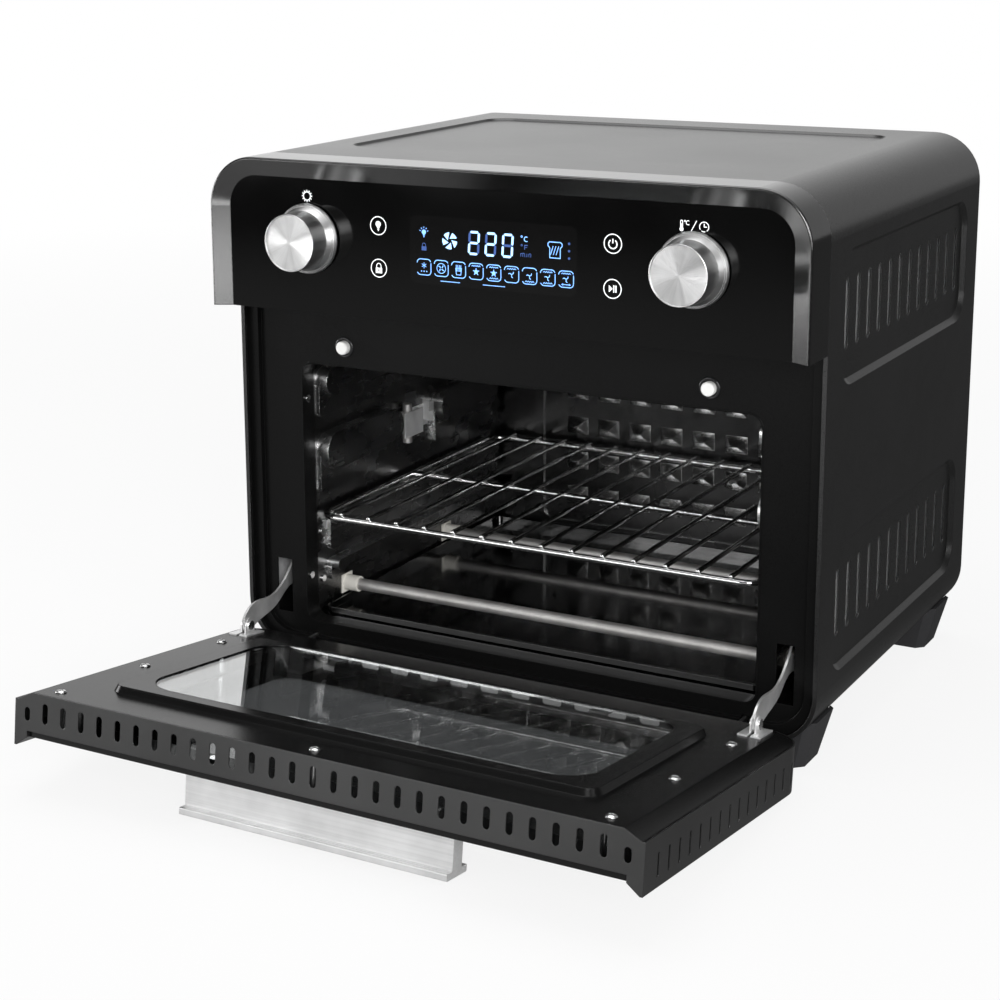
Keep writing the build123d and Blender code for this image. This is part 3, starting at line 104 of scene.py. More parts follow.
def axisOf(tree, vector, axis):
    return addNode(tree, "ShaderNodeSeparateXYZ", None, {0: vector}, axis)


def remap(tree, value, low, high, toLow, toHigh, smooth=False):
    settings = {"interpolation_type": "SMOOTHSTEP"} if smooth else None
    return addNode(tree, "ShaderNodeMapRange", settings, {0: value, 1: low, 2: high, 3: toLow, 4: toHigh})


def distance(offX, offY):
    return (offX * offX + offY * offY).math("SQRT")


class Finish:
    # one material: its tree, the object's coordinates and a Principled shader
    def __init__(self, name, fixed):
        self.material = bpy.data.materials.new(name)
        self.material.use_nodes = True
        self.tree = self.material.node_tree
        self.tree.nodes.clear()
        self.output = self.tree.nodes.new("ShaderNodeOutputMaterial")
        self.shader = self.tree.nodes.new("ShaderNodeBsdfPrincipled")
        self.tree.links.new(self.shader.outputs[0], self.output.inputs[0])
        for key, value in fixed.items():
            self.shader.inputs[key].default_value = value
        self.place = self.add("ShaderNodeTexCoord", out="Object")

    def add(self, kind, settings=None, values=None, out=0):
        return addNode(self.tree, kind, settings, values, out)

    def noise(self, scale, detail=3.0, stretch=None):
        place = self.place
        if stretch:
            place = self.add("ShaderNodeMapping", None, {"Vector": self.place, "Scale": stretch})
        return self.add("ShaderNodeTexNoise", {"noise_dimensions": "3D"},
                        {"Vector": place, "Scale": scale, "Detail": detail})

    def blendColour(self, factor, first, second):
        return self.add("ShaderNodeMix", {"data_type": "RGBA"}, {0: factor, 6: first, 7: second}, 2)

    def remap(self, value, low, high, toLow, toHigh):
        return remap(self.tree, value, low, high, toLow, toHigh)

    def rounded(self, radius):
        return self.add("ShaderNodeBevel", {"samples": 4}, {"Radius": radius})

    def bump(self, height, strength, depth, normal=None):
        values = {"Height": height, "Strength": strength, "Distance": depth}
        if normal is not None:
            values["Normal"] = normal
        return self.add("ShaderNodeBump", None, values)

    def feed(self, **links):
        for name, wire in links.items():
            self.tree.links.new(wire.socket, self.shader.inputs[name.replace("_", " ")])
        return self

    def split(self):
        return [axisOf(self.tree, self.place, axis) for axis in range(3)]

    def facing(self, axis):
        # how squarely a face looks along an axis, from 0 to 1
        normal = self.add("ShaderNodeNewGeometry", out="Normal")
        return axisOf(self.tree, normal, axis).math("ABSOLUTE")


def rgb(value, warm=0.0):
    return (value * (1 + warm), value, value * (1 - warm), 1.0)


def scaled(colour, factor):
    return [min(1, c * factor) for c in colour] + [1]


# finishes
def paintedSteel(name, colour, metallic, roughness, depth=0.00003, edge=0.0006, gloss=0.5):
    made = Finish(name, {"Specular IOR Level": gloss, "Metallic": metallic})
    grain = made.noise(2600.0, 2.0)
    broad = made.noise(9.0, 4.0)
    tint = made.blendColour(made.remap(broad, 0.3, 0.7, 0.0, 1.0), rgb(colour * 0.86), rgb(colour * 1.16))
    rough = made.remap(grain, 0.25, 0.75, roughness - 0.05, roughness + 0.06) + (broad - 0.5) * 0.08
    relief = made.bump(grain, 0.5, depth, made.rounded(edge))
    return made.feed(Base_Color=tint, Roughness=rough, Normal=relief)


def sheetMetal(name, colour, roughness, warm=0.0, grain=(60.0, 60.0, 60.0), mottled=0.25, depth=0.00002,
               facetSheen=None, flatAxis=None, metallic=1.0):
    # the brighter colour of pressed ribs and edges that don't face along flatAxis is a painted highlight
    made = Finish(name, {"Metallic": metallic})
    lines = made.noise(1.0, 4.0, grain)
    patches = made.noise(38.0, 3.0)
    shade = made.remap(lines, 0.3, 0.7, 1 - mottled, 1 + mottled * 0.5)
    shade = shade * made.remap(patches, 0.3, 0.7, 0.9, 1.08)
    tint = made.blendColour(shade * 0.5, rgb(0.0), rgb(colour * 2, warm))
    # painted highlight: ribs, facets and edges that don't face along flatAxis turn brighter
    if facetSheen:
        tint = made.blendColour(made.remap(made.facing(flatAxis), 0.8, 0.97, 1.0, 0.0), tint, rgb(facetSheen))
    rough = made.remap(patches, 0.3, 0.7, roughness - 0.04, roughness + 0.05) + (lines - 0.5) * 0.08
    relief = made.bump(lines, 0.4, depth, made.rounded(0.0004))
    return made.feed(Base_Color=tint, Roughness=rough, Normal=relief)


def mouldedPlastic(name, colour, roughness, grain=1500.0, depth=0.00004):
    made = Finish(name, {"Metallic": 0.0})
    fine = made.noise(grain, 3.0)
    broad = made.noise(25.0, 3.0)
    tint = made.blendColour(broad, scaled(colour, 0.85), scaled(colour, 1.12))
    rough = made.remap(fine, 0.3, 0.7, roughness - 0.05, roughness + 0.08)
    relief = made.bump(fine, 0.35, depth, made.rounded(0.0005))
    return made.feed(Base_Color=tint, Roughness=rough, Normal=relief)


# paint that glows: a lamp for the lit blue display segments; on the printed white symbols the glow is
# painted light, and the unlit blue symbols glow faintly
def lampPaint(name, colour, strength):
    made = Finish(name, {"Base Color": (*colour, 1.0), "Roughness": 0.4, "Emission Strength": strength})
    grain = made.remap(made.noise(5000.0, 1.0), 0.3, 0.7, 0.0, 1.0)
    return made.feed(Emission_Color=made.blendColour(grain, scaled(colour, 0.9), scaled(colour, 1.0)))


finishes = {
    "cabinet": paintedSteel("satinBlackCabinet", 0.0075, 0.0, 0.29, gloss=0.9),
    "doorPaint": paintedSteel("gunmetalDoor", 0.1, 0.9, 0.36, depth=0.00002),
    "bezel": paintedSteel("gunmetalBezel", 0.12, 1.0, 0.16, depth=0.000008, edge=0.0008),
    "frame": paintedSteel("blackEnamelFrame", 0.0045, 0.0, 0.3, depth=0.00002, gloss=0.14),
    "doorFrame": paintedSteel("blackEnamelDoorFrame", 0.005, 0.0, 0.22, depth=0.00001, edge=0.0008,
                              gloss=0.2),
    "cavity": sheetMetal("polishedCavitySteel", 0.2, 0.09, grain=(5.0, 240.0, 240.0), depth=0.000003),
    # the cavity walls' ribs and the back wall's pyramid facets get a painted highlight colour
    "cavityWall": sheetMetal("polishedCavityWall", 0.14, 0.26, grain=(240.0, 5.0, 240.0), depth=0.000006,
                             facetSheen=0.85, flatAxis=0),
    "cavityBack": sheetMetal("polishedCavityBack", 0.05, 0.24, depth=0.000006, facetSheen=0.98, flatAxis=1),
    "lining": mouldedPlastic("galvanisedLining", (0.88, 0.88, 0.89), 0.4, grain=1100.0, depth=0.00006),
    "plain": sheetMetal("zincedSteel", 0.45, 0.38),
    "arm": sheetMetal("pressedArmSteel", 0.88, 0.36, mottled=0.2, metallic=0.75),
    "screw": sheetMetal("zincedScrew", 0.8, 0.2, mottled=0.15),
    "bracket": sheetMetal("brightBracket", 0.95, 0.4, mottled=0.2, metallic=0.6),
    "rod": sheetMetal("heaterSheath", 0.72, 0.56, 0.02, mottled=0.15, depth=0.00001),
    "rack": sheetMetal("chromedWire", 0.82, 0.1, mottled=0.1, depth=0.000004),
    "handle": sheetMetal("brushedHandle", 0.92, 0.36, grain=(4.0, 900.0, 900.0), mottled=0.08, depth=0.00001,
                         metallic=0.7),
    "collar": mouldedPlastic("glossBlackCollar", (0.012, 0.012, 0.013), 0.16),
    "foot": mouldedPlastic("mattBlackFoot", (0.03, 0.03, 0.032), 0.5),
    "rubber": mouldedPlastic("whiteSilicone", (0.86, 0.86, 0.84), 0.45),
    "ceramic": mouldedPlastic("whiteCeramic", (0.82, 0.8, 0.74), 0.5),
    "board": mouldedPlastic("greenBoard", (0.02, 0.14, 0.06), 0.4),
    "carrier": mouldedPlastic("blackCarrier", (0.02, 0.022, 0.03), 0.4),
    "motor": sheetMetal("motorLaminations", 0.3, 0.4, grain=(60.0, 60.0, 1400.0)),
    # printed white symbols with a painted glow
    "white": lampPaint("printedWhite", (0.9, 0.92, 0.93), 0.55),
    "blue": lampPaint("litBlue", (0.2, 0.44, 1.0), 1.2),
    "paleBlue": lampPaint("litPaleBlue", (0.36, 0.62, 1.0), 1.25),
    "dimBlue": lampPaint("dimBlue", (0.03, 0.08, 0.28), 0.5),
}


def roundMask(across, along, halfAcross, halfAlong, corner):
    # 1 inside a rectangle with round corners
    overAcross = (across.math("ABSOLUTE") - (halfAcross - corner)).math("MAXIMUM", 0.0)
    overAlong = (along.math("ABSOLUTE") - (halfAlong - corner)).math("MAXIMUM", 0.0)
    return distance(overAcross, overAlong) < corner


controlPanel = {
    "left": -0.056, "right": 0.056, "low": 0.279, "high": 0.3205, "corner": 0.005,  # the display's field
    "colour": 0.0012, "displayColour": 0.003, "speckColour": 0.008,
}


def blackGlass():
    # a gloss black panel, a shade lighter over the display
    made = Finish("glossBlackPanel", {"Specular IOR Level": 0.3})
    x, y, z = made.split()
    offX = x - (controlPanel["left"] + controlPanel["right"]) / 2
    offZ = z - (controlPanel["low"] + controlPanel["high"]) / 2
    halfX = (controlPanel["right"] - controlPanel["left"]) / 2
    halfZ = (controlPanel["high"] - controlPanel["low"]) / 2
    inside = roundMask(offX, offZ, halfX, halfZ, controlPanel["corner"])
    tint = made.blendColour(inside, rgb(controlPanel["colour"]), rgb(controlPanel["displayColour"]))
    specks = made.noise(900.0, 2.0) > 0.72
    tint = made.blendColour(specks * 0.5, tint, rgb(controlPanel["speckColour"]))
    return made.feed(Base_Color=tint, Roughness=made.remap(made.noise(14.0, 4.0), 0.3, 0.7, 0.05, 0.11))


def clearGlass(name, tint, roughness):
    made = Finish(name, {"Base Color": (*tint, 1.0), "Transmission Weight": 1.0, "IOR": 1.5})
    return made.feed(Roughness=made.remap(made.noise(30.0, 4.0), 0.3, 0.8, roughness, roughness + 0.03))


window = {"halfWidth": 0.14, "near": -0.074, "far": -0.19, "corner": 0.014,
          "ink": 0.004, "inkRoughness": 0.12}


def borderedGlass(name, tint, roughness):
    # clear in the middle, with a black printed border round it
    made = clearGlass(name, tint, roughness)
    x, y, z = made.split()
    offY = y - (window["near"] + window["far"]) / 2
    halfLength = (window["near"] - window["far"]) / 2
    inside = roundMask(x, offY, window["halfWidth"], halfLength, window["corner"])
    ink = made.add("ShaderNodeBsdfPrincipled", None,
                   {"Base Color": rgb(window["ink"]), "Roughness": window["inkRoughness"]})
    pane = Wire(made.tree, made.shader.outputs[0])
    shown = made.add("ShaderNodeMixShader", None, {0: inside, 1: ink, 2: pane})
    made.tree.links.new(shown.socket, made.output.inputs[0])
    return made


finishes["panel"] = blackGlass()
finishes["innerGlass"] = clearGlass("clearInnerGlass", (0.93, 0.95, 0.95), 0.0)
finishes["outerGlass"] = borderedGlass("tintedOuterGlass", (0.42, 0.43, 0.44), 0.012)

finishOf = {
    "outer_shell": "cabinet", "side_linings": "lining", "base_plate": "plain", "back_panel": "cabinet",
    "cord_gland": "foot", "rear_screws": "screw", "front_frame": "frame", "door_bumpers": "rubber",
    "cavity_left_wall": "cavityWall", "cavity_right_wall": "cavityWall", "cavity_floor": "cavity",
    "cavity_ceiling": "cavity", "cavity_back_wall": "cavityBack", "cavity_screws": "screw",
    "crumb_tray": "cavity", "lower_heaters": "rod", "upper_heaters": "rod", "heater_ceramics": "ceramic",
    "sensor_bracket": "bracket", "sensor_probe": "rod", "control_bezel": "bezel", "control_glass": "panel",
    "display_module": "carrier", "control_board": "board", "touch_springs": "screw", "encoders": "carrier",
    "knob_collars": "collar", "fan_housing": "plain", "motor_bracket": "plain", "fan_motor": "motor",
    "power_board": "board", "front_feet": "foot", "rear_feet": "foot", "hinge_brackets": "plain",
    "hinge_pins": "screw", "arm_guides": "plain", "door_springs": "plain", "spring_anchors": "plain",
    "door_shell": "doorPaint", "door_inner_frame": "doorFrame", "outer_glass": "outerGlass",
    "outer_glass_frame": "frame", "inner_glass": "innerGlass", "inner_glass_clips": "plain",
    "door_spacers": "screw", "door_screws": "screw", "door_handle": "handle", "handle_screws": "screw",
    "door_hinge_tabs": "plain", "arm_ears": "arm", "ear_rivets": "screw", "left_arm": "arm",
    "right_arm": "arm", "wire_rack": "rack", "function_shaft": "screw", "temperature_shaft": "screw",
    "convection_fan": "plain", "fan_shaft": "screw",
}
for nodeName, finishName in finishOf.items():
    mesh = nodes[nodeName].data
    mesh.materials.clear()
    mesh.materials.append(finishes[finishName].material)
print("finishes on", len(finishOf), "nodes")


# making meshes
def makePiece(name, verts, faces, finish, body, smooth=False):
    mesh = bpy.data.meshes.new(name)
    mesh.from_pydata(verts, [], faces)
    mesh.validate()
    mesh.materials.append(finish.material)
    for face in mesh.polygons:
        face.use_smooth = smooth
    piece = bpy.data.objects.new(name, mesh)
    bpy.context.scene.collection.objects.link(piece)
    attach(piece, body)
    return piece


def onCircle(x, z, radius, angle):
    # the point at an angle in degrees on a circle
    return (x + radius * cos(radians(angle)), z + radius * sin(radians(angle)))


# knobs: turned aluminium caps
knobTurning = {
    "segments": 144, "sharpAngle": 28,
    "groovePitch": 0.00028, "grooveDepth": 0.00003,
    # the painted sheen streaks on the face: their spread and scale, and the darkest and brightest face
    # colour
    "streakSpread": 6, "streakScale": 3.2, "dark": 0.24, "bright": 0.84,
    # radius and distance ahead of the collar in millimetres, from the middle of the face to the bore's end
    "profile": ((0.0, 20.55), (16.5, 20.55), (16.95, 20.6), (17.1, 20.9), (17.25, 21.15), (17.45, 21.2),
                (17.65, 21.1), (17.8, 20.85), (17.83, 20.4), (18.18, 6.5), (18.4, 6.2), (20.3, 3.4),
                (20.45, 3.42), (20.6, 3.15), (21.1, 2.5), (21.25, 2.5), (21.35, 2.15), (21.85, 1.5),
                (22.0, 1.1), (22.0, 0.35), (21.85, 0.08), (21.5, 0.0), (16.0, 0.0), (16.0, 16.0),
                (6.0, 16.0), (6.0, 0.0), (3.02, 0.0), (3.02, 14.0), (0.0, 14.0)),
}


def spunAluminium(name, centreX, centreZ):
    # streaks that fan out from the middle of the face, partly random brushed tone and partly painted sheen
    # standing in for its fanned highlights, and fine turned grooves round it
    made = Finish(name, {"Metallic": 1.0})
    x, y, z = made.split()
    offX, offZ = x - centreX, z - centreZ
    radius = distance(offX, offZ)
    angle = offZ.math("ARCTAN2", offX)
    fanned = made.add("ShaderNodeCombineXYZ", None, {0: angle.math("COSINE"), 1: angle.math("SINE"),
                                                     2: radius * knobTurning["streakSpread"]})
    streak = made.add("ShaderNodeTexNoise", None, {"Vector": fanned, "Scale": knobTurning["streakScale"],
                                                   "Detail": 7.0, "Roughness": 0.62})
    ahead = made.facing(1) > 0.97
    # the face colour carries the painted sheen streaks; the side stays even
    shade = made.remap(streak, 0.32, 0.68, 0.7, 1.0) * ahead + (1 - ahead) * 0.95
    tint = made.blendColour(shade, rgb(knobTurning["dark"]), rgb(knobTurning["bright"]))
    grooves = (radius * (2 * pi / knobTurning["groovePitch"])).math("SINE") * ahead
    return made.feed(Base_Color=tint, Roughness=made.remap(streak, 0.3, 0.7, 0.28, 0.38),
                     Normal=made.bump(grooves, 0.6, knobTurning["grooveDepth"]))


def makeKnob(name, nodeName, body):
    low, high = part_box(nodeName)
    centreX, centreZ = (low.x + high.x) / 2, (low.z + high.z) / 2
    count = knobTurning["segments"]
    profile = knobTurning["profile"]
    verts, faces = [], []
    for radius, ahead in profile:
        if radius == 0:
            verts.append((centreX, high.y - ahead / 1000, centreZ))
            continue
        for index in range(count):
            x, z = onCircle(centreX, centreZ, radius / 1000, 360 * index / count)
            verts.append((x, high.y - ahead / 1000, z))
    rings = len(profile) - 2
    lastRing = 1 + (rings - 1) * count
    for index in range(count):
        after = (index + 1) % count
        faces.append((0, 1 + index, 1 + after))
        for ring in range(rings - 1):
            here = 1 + ring * count
            there = here + count
            faces.append((here + index, there + index, there + after, here + after))
        faces.append((lastRing + count, lastRing + after, lastRing + index))
    piece = makePiece(name, verts, faces, spunAluminium(name + "Finish", centreX, centreZ), body, True)
    piece.data.set_sharp_from_angle(angle=radians(knobTurning["sharpAngle"]))
    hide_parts(nodeName)


makeKnob("functionKnobCap", "function_knob", "function_dial")
makeKnob("temperatureKnobCap", "temperature_knob", "temperature_dial")
print("knobs turned")


# printed and lit symbols on the control glass, all drawn in millimetres
class Panel:
    # thin flat shapes just ahead of the glass, facing the front
    def __init__(self, name, finish, lift):
        self.name = name
        self.finish = finish
        self.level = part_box("control_glass")[0].y - lift
        self.verts = []
        self.faces = []

    def shape(self, points):
        # a convex outline, filled, its face towards the front whichever way round it is given
        start = len(self.verts)
        area = sum(x * points[i - 1][1] - points[i - 1][0] * z for i, (x, z) in enumerate(points))
        if area > 0:
            points = points[::-1]
        self.verts += [(x / 1000, self.level, z / 1000) for x, z in points]
        self.faces.append(tuple(range(start, start + len(points))))

    def rectangle(self, left, right, low, high):
        self.shape([(left, low), (right, low), (right, high), (left, high)])

    def band(self, points, width, closed=False):
        # a stroke of even width along the points
        count = len(points)
        left, right = [], []
        for index, (x, z) in enumerate(points):
            before = points[index - 1] if index or closed else (x, z)
            after = points[(index + 1) % count] if index < count - 1 or closed else (x, z)
            inX, inZ = unit(x - before[0], z - before[1])
            outX, outZ = unit(after[0] - x, after[1] - z)
            if (inX, inZ) == (0, 0):
                inX, inZ = outX, outZ
            if (outX, outZ) == (0, 0):
                outX, outZ = inX, inZ
            sumX, sumZ = unit(inX + outX, inZ + outZ)
            spread = width / 2 / max(0.35, sumX * inX + sumZ * inZ)
            left.append((x - sumZ * spread, z + sumX * spread))
            right.append((x + sumZ * spread, z - sumX * spread))
        last = count if closed else count - 1
        for index in range(last):
            after = (index + 1) % count
            self.shape((right[index], right[after], left[after], left[index]))

    def ring(self, x, z, radius, width, start=0, end=360, steps=40):
        whole = end - start >= 360
        count = steps if whole else steps + 1
        points = [onCircle(x, z, radius, start + (end - start) * index / steps) for index in range(count)]
        self.band(points, width, whole)

    def disc(self, x, z, radius, steps=28):
        self.shape([onCircle(x, z, radius, 360 * index / steps) for index in range(steps)])

    def rays(self, x, z, count, start, step, inner, outer, width):
        # short strokes out from a middle
        for index in range(count):
            angle = start + step * index
            self.band([onCircle(x, z, inner, angle), onCircle(x, z, outer, angle)], width)

    def done(self, slot):
        makePiece(self.name, self.verts, self.faces, self.finish, "cabinet")


def unit(x, z):
    size = (x * x + z * z) ** 0.5
    return (x / size, z / size) if size > 1e-9 else (0, 0)


def moved(points, x, z, scale=1.0):
    return [(x + px * scale, z + pz * scale) for px, pz in points]


def roundBox(x, z, width, height, corner, steps=4):
    points = []
    for turn, (sideX, sideZ) in enumerate(((1, 1), (-1, 1), (-1, -1), (1, -1))):
        cornerX = x + sideX * (width / 2 - corner)
        cornerZ = z + sideZ * (height / 2 - corner)
        for index in range(steps + 1):
            points.append(onCircle(cornerX, cornerZ, corner, 90 * turn + 90 * index / steps))
    return points


def drawBulb(board, x, z, scale):
    board.disc(x, z + 0.75 * scale, 1.45 * scale)
    board.shape(moved(((-0.8, -0.2), (0.8, -0.2), (0.55, -1.3), (-0.55, -1.3)), x, z, scale))
    board.shape(moved(((-0.5, -1.5), (0.5, -1.5), (0.5, -1.95), (-0.5, -1.95)), x, z, scale))
    board.shape(moved(((-0.35, -2.1), (0.35, -2.1), (0.2, -2.5), (-0.2, -2.5)), x, z, scale))


def drawLock(board, x, z, scale, hole=True):
    half, top, low = 1.75 * scale, z + 0.25 * scale, z - 2.35 * scale
    board.ring(x, z + 1.1 * scale, 1.2 * scale, 0.42 * scale, 0, 180, 14)
    for side in (-1, 1):
        legX = x + side * 1.2 * scale
        board.band([(legX, z + 1.15 * scale), (legX, top)], 0.42 * scale)
    if hole:
        slit = 0.28 * scale
        board.rectangle(x - half, x - slit, low, top)
        board.rectangle(x + slit, x + half, low, top)
        board.rectangle(x - slit, x + slit, low, low + 0.7 * scale)
        board.rectangle(x - slit, x + slit, top - 0.6 * scale, top)
    else:
        board.rectangle(x - half, x + half, low, top)


def drawPower(board, x, z):
    board.ring(x, z - 0.2, 2.6, 0.75, 125, 415, 30)
    board.band([(x, z + 0.2), (x, z + 2.9)], 0.75)


def drawPlay(board, x, z):
    half = 2.1
    board.shape([(x - 2.3, z - half), (x + 0.2, z), (x - 2.3, z + half)])
    for barX in (0.85, 2.2):
        board.rectangle(x + barX - 0.42, x + barX + 0.42, z - half, z + half)


def drawThermometer(board, x, z):
    board.ring(x, z - 2.0, 1.0, 0.45, steps=24)
    board.disc(x, z - 2.0, 0.55)
    tube = ((-0.62, -1.3), (-0.62, 2.4), (-0.35, 2.95), (0.35, 2.95), (0.62, 2.4), (0.62, -1.3))
    board.band(moved(tube, x, z), 0.4)
    board.band([(x, z - 1.6), (x, z + 1.2)], 0.45)
    board.ring(x + 2.0, z + 2.7, 0.42, 0.28, steps=14)
    board.ring(x + 3.9, z + 1.75, 1.15, 0.4, 50, 310, 18)


def drawClock(board, x, z):
    board.ring(x, z, 2.75, 0.5, -55, 215, 34)
    board.ring(x, z, 2.75, 0.5, 235, 285, 10)
    board.band([(x, z + 1.9), (x, z), (x + 1.7, z)], 0.5)


lift = {"bright": 0.00006, "dim": 0.00005}  # metres ahead of the glass
keys = {"left": -78.3, "right": 78.8, "high": 312.2, "low": 286.1, "ring": 5.5, "line": 0.6, "scale": 1.3}
cog = {"x": -129.7, "z": 327.3, "radius": 2.5, "line": 0.5, "teeth": 12, "toothLine": 0.6}
# over the right knob: a thermometer, a stroke and a clock
dial = {"x": 128.6, "z": 325.5, "thermometer": -7.6, "clock": 6.0, "stroke": ((-1.9, -3.1), (1.5, 3.2)),
        "line": 0.5}
# the printed white symbols, given a painted glow by their finish
printed = Panel("printedSymbols", finishes["white"], lift["bright"])
for keyX in (keys["left"], keys["right"]):
    for keyZ in (keys["high"], keys["low"]):
        printed.ring(keyX, keyZ, keys["ring"], keys["line"], steps=56)
drawBulb(printed, keys["left"], keys["high"], keys["scale"])
drawLock(printed, keys["left"], keys["low"], keys["scale"])
drawPower(printed, keys["right"], keys["high"])
drawPlay(printed, keys["right"], keys["low"])
printed.ring(cog["x"], cog["z"], cog["radius"], cog["line"], steps=56)
printed.rays(cog["x"], cog["z"], count=cog["teeth"], start=0, step=360 / cog["teeth"],
             inner=cog["radius"] + 0.1, outer=cog["radius"] + 1.35, width=cog["toothLine"])
drawThermometer(printed, dial["x"] + dial["thermometer"], dial["z"])
printed.band(moved(dial["stroke"], dial["x"], dial["z"]), dial["line"])
drawClock(printed, dial["x"] + dial["clock"], dial["z"])
printed.done("black_glass")
print("printed symbols drawn")

lit = Panel("litSegments", finishes["paleBlue"], lift["bright"])
glow = Panel("litSymbols", finishes["blue"], lift["bright"])
dim = Panel("unlitSymbols", finishes["dimBlue"], lift["dim"])
digits = {"x": (-11.9, -0.6, 10.7), "z": 306.2, "width": 6.2, "height": 13.0, "line": 1.45, "gap": 0.95,
          "lean": 0.06, "shown": ("abged", "abged", "abcdef")}


def drawDigit(x, z, shown):
    # seven leaning segments, the ones in shown lit
    halfW, halfH, half = digits["width"] / 2, digits["height"] / 2, digits["line"] / 2
    ends = {
        "a": ((-halfW, halfH), (halfW, halfH)),
        "g": ((-halfW, 0), (halfW, 0)),
        "d": ((-halfW, -halfH), (halfW, -halfH)),
        "f": ((-halfW, halfH), (-halfW, 0)),
        "b": ((halfW, halfH), (halfW, 0)),
        "e": ((-halfW, 0), (-halfW, -halfH)),
        "c": ((halfW, 0), (halfW, -halfH)),
    }
    for key, ((x0, z0), (x1, z1)) in ends.items():
        stepX, stepZ = unit(x1 - x0, z1 - z0)
        x0, z0 = x0 + stepX * digits["gap"], z0 + stepZ * digits["gap"]
        x1, z1 = x1 - stepX * digits["gap"], z1 - stepZ * digits["gap"]
        outline = [(x0 - stepX * half, z0 - stepZ * half), (x0 + stepZ * half, z0 - stepX * half),
                   (x1 + stepZ * half, z1 - stepX * half), (x1 + stepX * half, z1 + stepZ * half),
                   (x1 - stepZ * half, z1 + stepX * half), (x0 - stepZ * half, z0 + stepX * half)]
        leaned = [(x + px + digits["lean"] * pz, z + pz) for px, pz in outline]
        board = lit if key in shown else dim
        board.shape(leaned)


for place, shown in zip(digits["x"], digits["shown"]):
    drawDigit(place, digits["z"], shown)

# a small lamp over a lock, then the fan wheel
signs = {"x": -46.2, "lampZ": 309.8, "lockZ": 301.6, "lockScale": 0.95}
drawBulb(glow, signs["x"], signs["lampZ"], 1.0)
glow.rays(signs["x"], signs["lampZ"] + 0.8, count=5, start=15, step=37.5, inner=2.2, outer=3.2, width=0.4)
drawLock(dim, signs["x"], signs["lockZ"], signs["lockScale"], False)
wheel = {"x": -28.4, "z": 306.4, "radius": 5.1, "hub": 1.3, "blades": 5, "sweep": 50, "twist": 75}
for blade in range(wheel["blades"]):
    base = 360 / wheel["blades"] * blade + 20
    rim = []
    for step in range(0, wheel["sweep"] + 1, 10):
        rim.append(onCircle(wheel["x"], wheel["z"], wheel["radius"], base + step))
    root = onCircle(wheel["x"], wheel["z"], wheel["hub"], base + wheel["twist"])
    for before, after in zip(rim, rim[1:]):
        lit.shape((root, before, after))

# degree marks, minutes and the slice of toast
degrees = {"x": 20.1, "highZ": 312.3, "lowZ": 307.2, "dot": 0.5, "dotLine": 0.32,
           "arcX": 23.1, "arcZ": 310.9, "arcRadius": 1.35, "line": 0.5, "dimLine": 0.45,
           "strokes": (((22.0, 304.7), (22.0, 307.3), (24.0, 307.3)), ((22.0, 306.1), (23.6, 306.1)))}
glow.ring(degrees["x"], degrees["highZ"], degrees["dot"], degrees["dotLine"], steps=12)
glow.ring(degrees["arcX"], degrees["arcZ"], degrees["arcRadius"], degrees["line"], 55, 305, 16)
dim.ring(degrees["x"], degrees["lowZ"], degrees["dot"], degrees["dotLine"], steps=12)
for stroke in degrees["strokes"]:
    dim.band(stroke, degrees["dimLine"])
minutes = {"stems": (19.5, 20.8, 22.1, 23.5, 24.8, 26.1), "bars": ((19.5, 22.1), (24.8, 26.1)),
           "low": 300.4, "high": 302.4, "line": 0.4}
for stem in minutes["stems"]:
    dim.band([(stem, minutes["low"]), (stem, minutes["high"])], minutes["line"])
for start, end in minutes["bars"]:
    dim.band([(start, minutes["high"]), (end, minutes["high"])], minutes["line"])
toast = {"x": 41.9, "z": 305.8, "line": 0.5, "strokes": (-1.5, 0.3, 2.1), "strokeLine": 0.4,
         "outline": ((-3.4, -4.6), (3.4, -4.6), (3.4, 1.2), (4.6, 2.4), (4.6, 3.8), (3.6, 4.7), (-3.6, 4.7),
                     (-4.6, 3.8), (-4.6, 2.4), (-3.4, 1.2))}
glow.band(moved(toast["outline"], toast["x"], toast["z"]), toast["line"], True)
for stroke in toast["strokes"]:
    slant = moved(((stroke - 1.4, -2.8), (stroke + 0.3, 2.4)), toast["x"], toast["z"])
    glow.band(slant, toast["strokeLine"])
levelDots = {"x": 51.0, "z": (310.2, 305.9, 301.6), "radius": 0.75}
for dotZ in levelDots["z"]:
    dim.disc(levelDots["x"], dotZ, levelDots["radius"])

# nine cooking programmes in rounded boxes, and the two strokes under them
programmes = {"count": 9, "left": -46.3, "pitch": 11.93, "z": 289.3, "size": 9.6, "corner": 2.3, "line": 0.5,
              "topHeat": (3, 4, 5, 7, 8), "lowHeat": (4, 6, 7), "stars": (3, 4), "fans": (5, 6, 7, 8),
              "strokes": ((-35.0, -21.5), (-6.0, 9.0)), "strokeZ": 281.6}


def drawWave(x, z):
    # a wavy line for a heater that is on
    points = []
    for step in range(9):
        rise = 0.35 if step % 2 else -0.35
        points.append((x - 3.0 + 0.75 * step, z + rise))
    glow.band(points, 0.35)


def drawFrost(x, z):
    glow.rays(x, z + 1.0, count=3, start=30, step=60, inner=-1.8, outer=1.8, width=0.35)
    for dot in (-1.8, 0, 1.8):
        glow.disc(x + dot, z - 2.6, 0.4, 10)


def drawCrossFan(x, z):
    glow.ring(x, z, 3.0, 0.4, steps=26)
    for blade in range(4):
        angle = 90 * blade + 25
        glow.band([onCircle(x, z, 0.6, angle), onCircle(x, z, 2.3, angle + 28.648)], 0.6)


